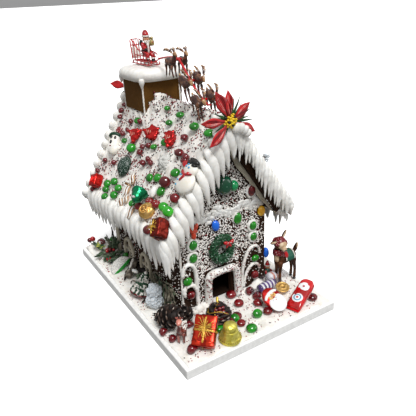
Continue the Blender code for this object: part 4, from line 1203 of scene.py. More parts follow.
for dx, dz, turn in ((-3.2, 3.2, 0.7), (3.0, 3.4, -0.7), (0, -3.6, 0.0), (0, 0.4, 1.2)):
    stamp(
        sweets["orange"], "lump1",
        onFront(-50 + dx, 142 + dz * 1.6, 2.2) @ Matrix.Rotation(turn, 4, "Z") @ sized(3.6, 6.2, 2.8),
    )
# the other three walls carry rows of sweets on rings of icing
bm = bmesh.new()
kinds = ("green", "red", "green", "blue", "green", "yellow", "red")
for side in (-1, 1):
    for i in range(6):
        y, z = -62 + 36 * i + rng.uniform(-4, 4), 104 + 14 * (i % 2) + rng.uniform(-3, 3)
        place = onSide(side, y, z - 4, 0.4)
        stamp(bm, "ball", place @ sized(9.8, 10.4, 2.2))
        wallSweet(kinds[i], onSide(side, y, z - 4, 2.6), 6.4, 6.8, 4.0)
for i, (x, z) in enumerate(
    (
        (-48, 120), (-24, 140), (0, 146), (24, 140), (48, 120), (-52, 88), (52, 88), (0, 196), (-22, 176),
        (22, 176), (-54, 52), (54, 52),
    )
):
    stamp(bm, "ball", onBack(x, z, 0.4) @ sized(9.8, 10.4, 2.2))
    wallSweet(kinds[i % 7], onBack(x, z, 2.6), 6.5, 6.9, 4.0)
# a piped round window at the back, and arched ones on the long walls
window = {"beads": 22, "radius": 21, "height": 100}
for k in range(window["beads"]):
    turn = k / window["beads"] * math.tau
    x, z = window["radius"] * math.cos(turn), window["height"] + window["radius"] * math.sin(turn)
    spot = onBack(x, z, 1.4)
    stamp(bm, "bead", spot @ sized(3.4, 3.4, 2.8))
for dx, dz in ((1, 0), (0, 1)):
    ends = [
        onBack(-20 * dx, 100 - 20 * dz, 1.2).translation, onBack(0, 100, 1.8).translation,
        onBack(20 * dx, 100 + 20 * dz, 1.2).translation,
    ]
    draw(bm, "rope", ends, (2.0, 2.2, 2.0, 2.2, 1.9), (0, 1, 0), 0.8)
arch = {"wide": 17.0, "low": 26.0}
for side, middles in ((-1, (84, 20)), (1, (84, 20, -42))):
    for y in middles:
        points = [
            (-arch["wide"], arch["low"]), (-arch["wide"], 46), (-12, 58), (0, 64), (12, 58),
            (arch["wide"], 46), (arch["wide"], arch["low"]),
        ]
        path = [onSide(side, y + dy * side, z, 2.0).translation for dy, z in points]
        draw(bm, "rope", path, (3.0, 3.2, 2.9, 3.2, 3.0, 3.3, 2.9, 3.1), (1, 0, 0), 0.9, 0.08, y)
        for row in (
            [(-15, 42), (0, 42), (15, 42)], [(0, 28), (0, 44), (0, 60)], [(-17, 27), (0, 26.5), (17, 27)],
        ):
            path = [onSide(side, y + dy * side, z, 1.2).translation for dy, z in row]
            draw(bm, "rod", path, (1.8, 2.0, 1.8, 2.0, 1.8), flat=0.9)
    # an uneven column of icing where two sheets of bread meet
    path = [onSide(side, 130, z, 2.0).translation for z in (112, 90, 66, 40, ground)]
    draw(bm, "rope", path, (3.0, 4.6, 4.0, 5.4, 4.8, 6.4, 6.6), (0, 1, 0), 0.6, 0.1, 2)
finishPiece("sidePiping", bm, ["creamRoyalIcing"])


def groundSweet(kind, x, y, radius, tip=0.0, roll=0.0):
    radius *= 1.26
    thick = radius * (0.8 if kind == "jelly" else 0.68)
    shape = f"lump{rng.randrange(lumpShapes)}" if kind == "jelly" else "smooth"
    place = at(x, y, groundZ(x, y) + thick * (0.75 + 0.3 * abs(tip) / 45), rng.uniform(-30, 30), tip, roll)
    stamp(sweets[kind], shape, place @ sized(radius, radius * 0.9, thick))


spareSweets = 6  # of each kind, behind and beside the house
# radius, then how far each leans on its neighbour
for kind, x, y, radius, tip in (
    ("red", 7, -98, 6.4, 20), ("red", 4, -122, 6.0, 15), ("red", 28, -136, 5.8, 10),
    ("red", 27, -160, 5.8, 10), ("red", -16, -145, 5.8, 20), ("red", -20, -161, 5.2, 10),
    ("red", -30, -149, 5.6, 10), ("red", 101, -172, 6.0, 10), ("jelly", -102, -168, 5.6, 0),
    ("jelly", -112, -135, 4.8, 0), ("jelly", -116, -115, 5.0, 0), ("jelly", -79, -122, 5.0, 0),
    ("jelly", 36, -106, 5.6, 0), ("jelly", 38, -121, 5.6, 0), ("green", -15, -178, 6.2, 15),
    ("green", 10, -158, 5.8, 40), ("green", -51, -155, 5.6, 20), ("green", -21, -147, 5.6, 30),
    ("green", 42, -142, 4.6, 10),
):
    groundSweet(kind, x, y, radius, tip)
for kind in ("red", "green", "jelly"):
    for _ in range(spareSweets):
        side = rng.random() < 0.6
        x = rng.uniform(84, 112) if side else rng.uniform(-100, 112)
        y = rng.uniform(-80, 170) if side else rng.uniform(150, 182)
        groundSweet(kind, x, y, rng.uniform(4.8, 6.2), rng.uniform(-20, 20))
for kind, finish, slotName in (
    ("green", "sugarShellGreen", "green_jelly"), ("pale", "sugarShellPaleGreen", "green_jelly"),
    ("red", "sugarShellDarkRed", "red_candy"), ("jelly", "darkRedJelly", "red_candy"),
    ("blue", "sugarShellBlue", "teal_foil"), ("yellow", "sugarShellYellow", "yellow_foil"),
    ("orange", "orangeRedSugar", "red_candy"), ("sprinkled", "sprinkledRedSugar", "red_candy"),
):
    finishPiece(kind + "Sweets", sweets[kind], [finish])

# what lies on the roof

# the piped snowman
snowmanSet = {"spot": (-60, -105), "turn": 8, "size": (1.36, 1.06, 1.15)}
snowman = onRoof(*snowmanSet["spot"], turn=snowmanSet["turn"]) @ sized(*snowmanSet["size"])
bm = bmesh.new()
stamp(bm, "smooth", snowman @ at(0, 1, 3.2) @ sized(13.6, 14.4, 6.2))
stamp(bm, "smooth", snowman @ at(1.0, 17.0, 3.4) @ sized(9.6, 9.4, 5.6))
finishPiece("snowman", bm, ["creamFondant"], ["snowman_icing"])
bm = bmesh.new()
for x, y, size in ((-1.0, 25.0, 4.6), (3.6, 27.6, 4.8), (8.0, 26.0, 4.0), (6.0, 22.6, 3.4), (0.5, 29.6, 3.0)):
    stamp(bm, "bead", snowman @ at(x, y, 5.6) @ sized(size, size * 0.85, 3.4))
finishPiece("snowmanHat", bm, ["paintedBlack"])
bm = bmesh.new()
for path in (
    [(-6.0, 15.6, 8.0), (-4.4, 11.5, 8.8), (1.0, 9.4, 9.2), (6.8, 10.4, 8.4), (9.6, 12.4, 7.0)],
    [(2.0, 9.6, 9.2), (0.0, 5.0, 9.8), (-2.6, 0.6, 9.8)],
):
    draw(bm, "rod", path, (1.1, 1.5, 1.4, 1.5, 1.0), (0, 0, 1), place=snowman)
stamp(bm, "lump0", snowman @ at(-8.5, 22.5, 4.6) @ sized(5.2, 4.6, 4.0))
stamp(bm, "bead", snowman @ at(5.2, 11.2, 9.0) @ sized(2.3, 2.3, 1.4))
finishPiece("snowmanScarf", bm, ["bowSugarRed"])
bm = bmesh.new()
for x, y, z in (
    (-1.5, 20.0, 8.9), (3.0, 18.6, 9.0), (0.0, 22.6, 8.2), (-5.4, 8.6, 8.6), (-6.6, 2.0, 8.6),
    (-7.2, -4.0, 8.0),
):
    stamp(bm, "bead", snowman @ at(x, y, z) @ sized(1.35, 1.35, 0.9))
finishPiece("snowmanDots", bm, ["paleBlueDot"])

# the pale face with a red cap: eyes and a nose only
faceSet = {"spot": (-58, 133), "hat": (-45, 137), "turn": 26, "size": 1.24}
face = onRoof(*faceSet["spot"], 1.0, turn=faceSet["turn"])
face = face @ Matrix.Rotation(0.5, 4, "Y") @ Matrix.Scale(faceSet["size"], 4)
bm = bmesh.new()
stamp(bm, "smooth", face @ at(0, 0, 3.4) @ sized(8.4, 15.4, 5.6))
stamp(bm, "smooth", face @ at(2.0, -7.5, 3.4) @ sized(7.6, 8.4, 5.0))
finishPiece("faceSweet", bm, ["creamFondant"], ["snowman_face"])
bm = bmesh.new()
for x, y, z, wide, high in (
    (-2.6, 7.0, 8.2, 1.7, 2.5), (3.2, 6.4, 8.2, 1.7, 2.5), (-1.4, 0.2, 9.0, 1.8, 2.9),
):
    stamp(bm, "bead", face @ at(x, y, z) @ sized(wide, high, 1.0))
finishPiece("faceDots", bm, ["paintedBlack"])
bm = bmesh.new()
hat = onRoof(*faceSet["hat"], 2.0, turn=faceSet["turn"]) @ Matrix.Rotation(0.4, 4, "Y")
for k in range(5):  # a knitted hat with a star of a tassel
    turn = k / 5 * math.tau + 0.3
    path = [(0, 0, 2), onCircle(turn, 4.0, 2.6), onCircle(turn, 7.6, 1.6)]
    draw(bm, "stroke", path, (2.4, 3.2, 2.8, 1.6, 0.5), (-math.sin(turn), math.cos(turn), 0), 0.7, place=hat)
brim = [(-9.0, 9.6, 3.4), (-4, 12.6, 6.6), (3, 13.0, 6.4), (8.4, 10.4, 3.6)]
draw(bm, "rod", brim, (1.8, 2.6, 2.7, 2.5, 1.6), (0, 0, 1), place=face, slot=1)
stamp(bm, "bead", face @ at(-1.0, -5.4, 9.0) @ sized(1.4, 0.8, 0.8))
finishPiece("faceCap", bm, ["sprinkledRedSugar", "sprinkledGreenSugar"])

# gumdrops under coarse sugar
gumdrops = {"green": (-71, 68), "white": (-52, -34), "grains": 60}
bm = bmesh.new()
part = spun([(0, 12.2), (6, 11.2), (10.4, 8.0), (13.2, 3.6), (13.8, 0.8), (12.6, 0), (0, 0)], 30)
ruffle(part, 0.9, 6.0)
join(bm, part, onRoof(*gumdrops["green"], -0.6, turn=24) @ sized(1.08, 1.2, 1.0))
finishPiece("greenGumdrop", bm, ["frostedGreenJelly"], ["gumdrop_green"])
bm = bmesh.new()
part = spun([(0, 9.0), (4, 8.4), (8.5, 5.6), (11.5, 2.0), (12.0, 0.4), (11, 0), (0, 0)], 30)
bmesh.ops.subdivide_edges(part, edges=part.edges[:], cuts=1, use_grid_fill=True)
ruffle(part, 3.4, 3.0, 2.0)
join(bm, part, onRoof(*gumdrops["white"]))
for _ in range(gumdrops["grains"]):
    x, y = rng.gauss(0, 6), rng.gauss(0, 6)
    place = onRoof(*gumdrops["white"], 5.0 - 0.25 * math.hypot(x, y)) @ at(x, y, 0, turn=rng.uniform(0, 180))
    stamp(bm, "grain", place @ sized(1.6, 1.2, 1.5))
finishPiece("frostedHeap", bm, ["frostedWhiteJelly"], ["gumdrop_white"])


# foil sweets


def foilBox(bm, size, place, seed, folds=True):
    # a little box wrapped in foil: pressed-in faces, and the wrap folded over at both ends
    part = block(size, 1.6, 5, 2)
    ruffle(part, 1.1, 5.0, seed)
    join(bm, part, place)
    if folds:
        for end in (-1, 1):
            part = bmesh.new()
            bmesh.ops.create_grid(part, x_segments=6, y_segments=3, size=1.0)
            for vert in part.verts:
                x, y = vert.co.x, vert.co.y
                across = x * size[0] * 0.34 * (1 - 0.25 * (y + 1))
                along = end * (size[1] / 2 + 0.9 + 0.4 * math.sin(x * 5))
                vert.co = (across, along, y * size[2] * 0.34 - 0.6)
            bmesh.ops.solidify(part, geom=part.faces[:], thickness=0.5)
            join(bm, part, place)


def threads(bm, place, reach, top, count, spread, thick=0.42):
    # gold cord: loops and loose ends that burst from the middle of the lid; cordRound adds the turns round
    # the box
    for i in range(count):
        turn = i / count * math.tau + rng.uniform(-0.2, 0.2)
        far = reach * rng.uniform(0.55, 1.0)
        path = [
            (0, 0, top),
            (math.cos(turn) * far * 0.4, math.sin(turn) * far * 0.4, top + spread * rng.uniform(0.5, 1.3)),
            (
                math.cos(turn) * far * 0.85, math.sin(turn) * far * 0.85,
                top + rng.uniform(0.5, spread * 0.6),
            ),
            (math.cos(turn + 0.12) * far, math.sin(turn + 0.12) * far, top + rng.uniform(-0.2, 1.0)),
        ]
        draw(bm, "twig", path, [thick * w for w in (0.9, 1, 1, 0.9, 0.7)], (0, 0, 1), place=place)


def cordRound(bm, place, size, thick=0.5):
    x, y, z = [s / 2 + 0.35 for s in size]
    for k in (-0.9, 0.0, 0.9):
        for path in (
            [(-x, k, -z), (-x, k, z), (0, k * 0.6, z + 0.4), (x, k, z), (x, k, -z)],
            [(k, -y, -z), (k, -y, z), (k * 0.6, 0, z + 0.4), (k, y, z), (k, y, -z)],
        ):
            draw(bm, "rod", path, [thick] * 5, (0.3, 0.5, 0.2), place=place)


gifts = {  # width, length and height of each
    "red": (18.4, 19.6, 14.6),
    "maroon": (17.0, 24.6, 17.0),
    "orange": (29.0, 40.0, 13.0),
}
bm = bmesh.new()
foilBox(bm, gifts["red"], onRoof(-95, 126, 7.6, turn=24), 2.0)
for k in range(4):  # raised folds of the wrap
    fold = onRoof(-95, 126, 14.8, turn=24) @ at(-6 + 4 * k, 0, 0)
    draw(bm, "rod", [(0, -8, 0), (0.6, 0, 0.5), (-0.4, 8, 0)], (0.4, 0.7, 0.6, 0.3), place=fold)
finishPiece("redGift", bm, ["crinkledRedFoil"], ["gift_red"])
bm = bmesh.new()
maroonPlace = onRoof(-98, -108, 8.6, turn=30)
foilBox(bm, gifts["maroon"], maroonPlace @ at(1.5, 0, 0), 5.0)
finishPiece("maroonGift", bm, ["crinkledMaroonFoil"], ["gift_maroon"])
threadPiece = bmesh.new()
threads(threadPiece, maroonPlace @ at(-3, 1, 0), 11.5, 8.8, 14, 3.0, 0.36)
cordRound(threadPiece, maroonPlace @ at(-2.4, 0, 0), (14.6, 25.0, 17.6), 0.4)

bm = bmesh.new()
greenBell = {"spot": (-82, -26), "turn": 35, "lean": 66, "size": 1.1}
bellPlace = onRoof(*greenBell["spot"], 9.8, greenBell["turn"], greenBell["lean"]) @ Matrix.Scale(
    greenBell["size"], 4,
)
part = spun(
    [
        (0, 17), (3.2, 16.8), (4.8, 15), (6.6, 12), (7.6, 8.4), (8.4, 5.0), (10.6, 2.0), (11.2, 0.6),
        (10.4, 0), (8, 1.6), (0, 2.6),
    ],
    26,
)
ruffle(part, 0.9, 4.0)
join(bm, part, bellPlace)
finishPiece("greenBell", bm, ["greenFoil"], ["bell_teal"])
bm = bmesh.new()
for x, y, z, size in (
    (-4.0, -2.0, 1.6, 3.4), (-7.0, 3.0, 5.0, 2.8), (2.0, 4.6, 14.4, 2.6), (5.0, -6.0, 1.2, 2.6),
):
    stamp(bm, "lump1", bellPlace @ at(x, y, z) @ sized(size, size * 0.8, size * 0.6))
# a white sugar oblong beside it
stamp(bm, "smooth", onRoof(-77, -47, 3.6, turn=18) @ sized(5.0, 8.2, 4.2), 1)
finishPiece("whiteSweets", bm, ["frostedWhiteJelly", "pipedRoyalIcing"])

bm = bmesh.new()
goldPlace = onRoof(-93, -55, 0.6, tip=-14) @ Matrix.Rotation(0.35, 4, "Y")
part = spun(
    [
        (0, 13.4), (5.6, 12.8), (8.0, 11.6), (8.8, 10.0), (10.8, 8.8), (11.6, 6.4), (11.2, 3.4), (9.5, 1.2),
        (7, 0), (0, 0),
    ],
    30,
)
ruffle(part, 1.0, 4.0, 4.0)
join(bm, part, goldPlace)
join(bm, ringOf(6.0, 1.0, 8, 24), goldPlace @ at(0, 0, 13.0))
# five studs round the top; every other one takes the brown painted shade
for k in range(5):
    turn = k / 5 * math.tau
    place = goldPlace @ at(*onCircle(turn, 3.0, 13.4))
    stamp(bm, "lump0", place @ sized(1.7, 1.4, 0.9), 1 if k % 2 else 0)
finishPiece("goldSweet", bm, ["goldFoil", "goldShadeAndBrown"], ["ornament_gold"])

bm = bmesh.new()
wraps = (
    (
        onRoof(-43, 76, 4.6, turn=28),
        ((-12, 8), (-4, 10.5), (4, 10), (11.5, 9), (9, 0), (4, -8), (0, -12.5), (-3, -8), (-7, 0)), 8.6,
        1.0,
    ),
    (
        onRoof(-36, 31, 4.6, turn=28),
        ((-13, 6), (-6, 9), (0, 13), (6, 11), (11, 7), (13, -1), (9, -9), (2, -12), (-5, -7), (-11, 1)),
        8.6, 6.0,
    ),
    (
        onRoof(-34, -24, 4.4, turn=28),
        ((-8, 9), (-3, 12), (4, 11), (8, 6), (7.5, -3), (4, -11), (-1, -12), (-5, -6), (-8, 2)), 8.4, 3.0,
    ),
)
for place, outline, thick, seed in wraps:
    place = place @ Matrix.Rotation(0.45, 4, "Y")
    part = sheetOf(outline[::-1], thick, 2.4, 3)
    fineSheet(part, 1)
    ruffle(part, 2.6, 4.2, seed)
    join(bm, part, place)
    for k, (x, y) in enumerate(outline):  # pinched corners of the wrap
        if k % 2 == 0:
            path = [(x * 0.6, y * 0.6, 2.4), (x * 0.95, y * 0.95, 2.8), (x * 1.18, y * 1.18, 1.6)]
            draw(bm, "blade", path, (1.5, 2.6, 2.4, 1.0), (-y, x, 0), 0.3, place=place)
    for k in range(3):  # pale pink stripes along the top: a painted highlight
        path = [(-6 + 3.4 * k, 5.5 - k, 4.9), (-3.6 + 3.0 * k, 1.5 - k, 5.4), (-2.0 + 2.2 * k, -4.0 + k, 4.7)]
        draw(bm, "twig", path, (0.5, 0.9, 0.9, 0.5), (0, 0, 1), 0.6, place=place, slot=1)
finishPiece(
    "foilKisses", bm, ["brightRedFoil", "toyPink"],
    ["foil_sweet_1", "foil_sweet_2", "foil_sweet_3"],
)

# gingerbread-man sweets: curls of white and brown piping on a biscuit ground
bm = bmesh.new()
for x, y, turn, length in (
    (-77, 24, 40, 16), (-88, 24, 10, 17), (-99, 26, 50, 15), (-101, -14, 10, 20), (-83, 33, 80, 10),
    (-94, 15, 30, 12),
):
    place = onRoof(x, y, 1.6, turn=turn)
    outline = [
        (-2.2, -length / 2), (2.2, -length / 2), (3.6, 0), (2.4, length / 2), (-2.4, length / 2), (-3.6, 0),
    ]
    join(bm, sheetOf(outline, 3.4, 0.9), place)
    for k, shift in enumerate((-3.2, 0.2, 3.0)):  # curls and loops of piping along each biscuit
        path = [
            (shift, -length / 2, 2.0), (shift + 1.8, -length / 5, 2.8), (shift - 1.6, length / 6, 2.6),
            (shift + 0.8, length / 2, 1.8),
        ]
        draw(bm, "rod", path, (0.9, 1.2, 1.2, 1.0), (0, 0, 1), place=place, slot=2 if k == 1 else 1)
finishPiece("biscuitCurls", bm, ["paleBiscuit", "pipedRoyalIcing", "goldShadeAndBrown"])


# the two cloth flowers

stamens = 26
goldenTurn = 2.4  # radians from one to the next, so that no two line up


def flower(name, place, petals, leaves, node):
    bm = bmesh.new()
    for angle, length, width, rise in petals:
        frameOf = place @ at(0, 0, 1.4 + 0.04 * rise, turn=angle, roll=-rise)
        path = [(1.5, 0, 0), (length * 0.35, 0, 2.2), (length * 0.7, 0.6, 1.6), (length, 0, -0.8)]
        half = [width * w for w in (0.06, 0.1, 0.16, 0.28, 0.44, 0.53, 0.52, 0.38, 0.18, 0.02)]
        draw(bm, "petal", path, half, (0, 1, 0), 0.05, place=frameOf)
        for k in (-2, -1, 1, 2):  # raised veins and folds: on one side dark, as painted shade; on the other pale, as a painted highlight where they catch the light
            vein = [
                (length * 0.3, 0, 2.0), (length * 0.62, k * width * 0.15, 2.5),
                (length * 0.88, k * width * 0.09, 1.3),
            ]
            draw(
                bm, "twig", vein, (0.3, 0.55, 0.5, 0.1), (0, 1, 0), 0.8, place=frameOf,
                slot=1 if k < 0 else 2,
            )
        draw(
            bm, "rod", [(2, 0, 1.0), (length * 0.45, 0, 2.6), (length * 0.9, 0, 0.4)],
            (0.6, 0.55, 0.4, 0.15), (0, 1, 0), 0.8, place=frameOf, slot=1,
        )
    finishPiece(
        name + "Petals", bm, ["petalCloth", "petalVeinAndFoldShade", "petalFoldHighlight"], [node],
    )
    bm = bmesh.new()
    for angle, length, width, rise in leaves:
        frameOf = place @ at(0, 0, 0.6, turn=angle, roll=-rise)
        path = [(0, 0, 0), (length * 0.4, 0, 1.4), (length * 0.75, 0.8, 1.2), (length, 1.4, 0)]
        draw(
            bm, "petal", path, [width * w for w in (0.2, 0.35, 0.5, 0.5, 0.35, 0.15, 0.03)], (0, 1, 0),
            0.12, place=frameOf,
        )
    finishPiece(name + "Leaves", bm, ["leafCloth"])
    bm = bmesh.new()
    for k in range(stamens):
        turn, reach = k * goldenTurn, 1.75 * math.sqrt(k)
        path = [onCircle(turn, reach * 0.5, 1), onCircle(turn, reach, 6.0 - 0.14 * k)]
        draw(bm, "twig", path, (0.8, 0.9, 0.9, 0.7), (0.3, 1, 0), place=place)
        knob = place @ at(path[1][0], path[1][1], path[1][2] + 0.6)
        stamp(bm, "lump1", knob @ sized(1.8, 1.6, 1.5), 1 if k % 6 == 4 else 0)
    finishPiece(name + "Stamens", bm, ["stamenYellow", "paintedBlack"])


part = bmesh.new()
bmesh.ops.create_uvsphere(part, u_segments=8, v_segments=14, radius=1.0)
keepShape("petal", part)
flowerFront = Matrix.Translation((-6, -121.6, 290)) @ Matrix(
    ((1, 0, 0, 0), (0, 0, -1, 0), (0, 1, 0, 0), (0, 0, 0, 1))
)
flower(
    "frontFlower", flowerFront,
    (
        (121, 46, 15, 8), (94, 38, 13, 3), (36, 34, 12, 9), (14, 25, 7, 3), (175, 44, 12, 5),
        (-143, 44, 13, 9), (-27, 43, 12, 2), (104, 30, 8, 12),
    ),
    (
        (62, 34, 3.6, 6), (50, 28, 3, 10), (-6, 36, 3.4, 8), (-18, 28, 3, 4), (-48, 22, 3, 6),
        (150, 30, 3, 8), (160, 24, 3, 4), (-160, 30, 3.2, 6), (-120, 18, 3, 6), (22, 34, 3, 12),
        (78, 30, 3, 8), (134, 26, 3, 10), (108, 28, 3, 4), (4, 30, 3, 10),
    ),
    "poinsettia_front",
)
flowerBack = Matrix.Translation((2, 188.6, 290)) @ Matrix(
    ((1, 0, 0, 0), (0, 0, 1, 0), (0, -1, 0, 0), (0, 0, 0, 1))
)
flower(
    "backFlower", flowerBack,
    (
        (-163, 37, 13, 2), (-105, 27, 12, 6), (-60, 30, 12, 3), (-18, 34, 12, 6), (22, 32, 12, 2),
        (62, 33, 12, 5), (118, 28, 12, 3),
    ),
    ((-135, 22, 4, 4), (-40, 22, 4, 4), (40, 24, 4, 4), (90, 20, 4, 4), (150, 22, 4, 4)),
    "poinsettia_back",
)
bm = bmesh.new()  # the ridge's last drift lies over one petal
for x, z, wide, high in ((3, 280, 6, 7), (9, 279, 7, 7), (15, 276, 6, 6.5), (20, 271, 5, 5.5)):
    stamp(bm, "smooth", at(x, -124.5, z, roll=30) @ sized(wide, 4.6, high))
finishPiece("ridgeDrift", bm, ["pipedRoyalIcing"])

# the sleigh, its rider and the team

seat = capTop + 0.9
sleighPlace = at(1.0, 84.0, seat)
sleighSizes = {"half": 7.0, "bar": 0.8}
bm = bmesh.new()


def bar(path, thick=1.0, slot=0):
    draw(bm, "rod", path, [sleighSizes["bar"] * thick] * 6, (0.4, 0.3, 0.6), place=sleighPlace, slot=slot)


for side in (-1, 1):
    x = side * sleighSizes["half"]
    bar([(x, -3, 9), (x, -4, 4), (x, -1, 1.0), (x, 6, 0.7), (x, 64, 0.7), (x, 72, 1.2)], 1.3)
    bar([(x, 0, 14), (x, 8, 18.4), (x, 24, 20), (x, 41, 21), (x, 52, 30), (x, 60, 35), (x, 69, 36)], 1.2)
    bar([(x, 0, 14), (x, -1.4, 11), (x, 1, 8.4), (x, 8, 5.6), (x, 64, 5.0)], 1.2)
    bar([(x, 69, 36), (x, 67, 24), (x, 64, 5)], 1.2)
    bar([(x, 55, 32), (x, 55.6, 19), (x, 54, 5)], 1.0)
    bar([(x, 4, 12), (x, 22, 13.4), (x, 54, 14)], 0.9)
    for y in (6, 20, 34, 48, 62):
        bar([(x, y, 0.7), (x, y + 0.4, 5.2)], 1.2)
    for y, high in ((12, 18.6), (23, 19.8), (34, 20.4), (45, 24)):
        bar([(x, y, 5.4), (x, y, high)], 0.8)
for k in range(6):
    bar([(-6.8, 4 + 11 * k, 5.2), (6.8, 4 + 11 * k, 5.2)], 1.1)
for z, y in ((10, 64.8), (18, 66.0), (27, 67.4), (35.6, 69.0)):
    bar([(-6.8, y, z), (6.8, y, z)], 1.1)
for x in (-3.4, 0, 3.4):
    bar([(x, 64.4, 8), (x, 66.6, 22), (x, 69.0, 35.4)], 0.8)
finishPiece("sleighFrame", bm, ["mouldedRed"], ["sleigh"])
bm = bmesh.new()
part = sheetOf([(-6.0, 4), (6.0, 4), (6.0, 62), (-6.0, 62)], 0.8, 0.2, 1)
join(bm, part, sleighPlace @ at(0, 0, 4.2))
part = sheetOf([(-6.0, 0), (6.0, 0), (6.0, 17), (0, 19), (-6.0, 17)], 0.9, 0.2, 1)
join(bm, part, sleighPlace @ at(0, 64.0, 6.8, tip=82))
finishPiece("sleighLining", bm, ["paintedFurWhite"])

rider = {"spot": (2.0, 110.0), "size": 1.14}
riderPlace = at(*rider["spot"], seat + 9.4) @ Matrix.Scale(rider["size"], 4)
bm = bmesh.new()
# 0 red suit, 1 white fur, 2 skin, 3 black, 4 gold sack
draw(
    bm, "rod", [(0, 1.5, 4), (0, 1.5, 12), (0, 0.5, 21)], (5.2, 7.0, 7.2, 6.6, 6.0, 4.2), flat=0.86,
    place=riderPlace,
)
draw(
    bm, "rod", [(-4, 0, 20), (-7.4, -2.5, 15.5), (-5.2, -8.0, 12.5)], (2.6, 2.9, 2.7, 2.5, 2.3), (0, 0, 1),
    place=riderPlace,
)
draw(
    bm, "rod", [(4, 0, 20), (7.6, -2.5, 17.0), (5.6, -5.0, 22.0)], (2.6, 2.9, 2.7, 2.5, 2.3), (0, 0, 1),
    place=riderPlace,
)
for x in (-3.3, 3.3):
    draw(
        bm, "rod", [(x, 0, 5.6), (x, -6, 6.4), (x * 1.1, -9.2, 4.6), (x * 1.1, -10.2, 0.4)],
        (3.2, 3.4, 3.2, 2.8, 2.4), place=riderPlace,
    )
    stamp(bm, "bead", riderPlace @ at(x * 1.12, -10.4, 0.6) @ sized(2.9, 3.0, 1.2), 1)
    draw(
        bm, "rod", [(x * 1.12, -10.0, 0.2), (x * 1.15, -10.4, -3.0), (x * 1.15, -13.6, -3.8)],
        (2.4, 2.4, 2.3, 2.4, 2.0), flat=0.9, place=riderPlace, slot=3,
    )
draw(bm, "rope", loopRound(7.0, 6.2, 1.5, 5.6), [1.3] * 8, (0, 0, 1), 1.0, 0.1, place=riderPlace, slot=1)
draw(
    bm, "rod", [(0.2, -5.0, 5.6), (0.0, -5.9, 12), (0.0, -5.0, 19)], (1.1, 1.3, 1.3, 1.2), place=riderPlace,
    slot=1,
)
draw(bm, "rope", loopRound(6.7, 5.8, 1.3, 10.4), [0.9] * 8, (0, 0, 1), 0.9, place=riderPlace, slot=3)
stamp(bm, "ball", riderPlace @ at(0, -0.4, 25.0) @ sized(4.6, 4.7, 5.0), 2)
stamp(bm, "bead", riderPlace @ at(0, -5.0, 24.8) @ sized(0.9, 1.1, 0.9), 2)
for x in (-1.7, 1.7):
    stamp(bm, "bead", riderPlace @ at(x, -4.5, 26.4) @ sized(0.55, 0.4, 0.6), 3)
for k, (x, y, z, size) in enumerate(
    (
        (0, -4.0, 20.6, 2.5), (-2.6, -3.4, 21.6, 2.0), (2.6, -3.4, 21.6, 2.0), (0, -4.6, 18.0, 2.1),
        (-1.4, -4.9, 22.6, 1.0), (1.4, -4.9, 22.6, 1.0),
    )
):
    stamp(bm, f"lump{k % 3}", riderPlace @ at(x, y, z) @ sized(size, size * 0.8, size), 1)
draw(bm, "rope", loopRound(4.9, 4.9, -0.2, 28.4), [1.0] * 8, (0, 0, 1), 1.0, 0.1, place=riderPlace, slot=1)
draw(
    bm, "rod", [(0, 0, 27.8), (0, 0.6, 31), (0.8, 3.0, 33.6), (3.0, 5.4, 33.6), (4.8, 6.0, 30.8)],
    (4.8, 4.7, 3.9, 2.9, 2.0, 1.2), place=riderPlace,
)
stamp(bm, "lump0", riderPlace @ at(5.2, 6.2, 29.8) @ sized(1.8, 1.8, 1.8), 1)
stamp(bm, "bead", riderPlace @ at(-5.4, -9.0, 12.2) @ sized(1.9, 1.9, 1.9), 3)
draw(
    bm, "rod", [(-4.6, 3.2, 24), (-6.2, 3.4, 20), (-5.6, 3.0, 16)], (1.6, 2.6, 2.6, 1.8), flat=0.8,
    place=riderPlace, slot=3,
)
part = spun([(0, 0), (3.4, 0.4), (4.4, 3), (4.0, 6.5), (2.4, 8.8), (1.3, 9.6), (2.0, 11.0), (0, 11.2)], 14)
ruffle(part, 1.2, 2.6)
join(bm, part, riderPlace @ at(5.8, -2.6, 15.6), 4)
stamp(bm, "lump1", riderPlace @ at(6.8, -3.6, 25.4) @ sized(2.2, 2.0, 2.2), 4)
finishPiece(
    "sleighRider", bm,
    ["paintedSuitRed", "paintedFurWhite", "paintedSkin", "paintedBlack", "paintedOliveGold"],
    ["rider"],
)

bm = bmesh.new()
# 0 brown, 1 paler brown (own paint on head, ears, tail and belly; a painted highlight on every other tine), 2
# icing; nose to the front, antlers swept back

flecks = 22


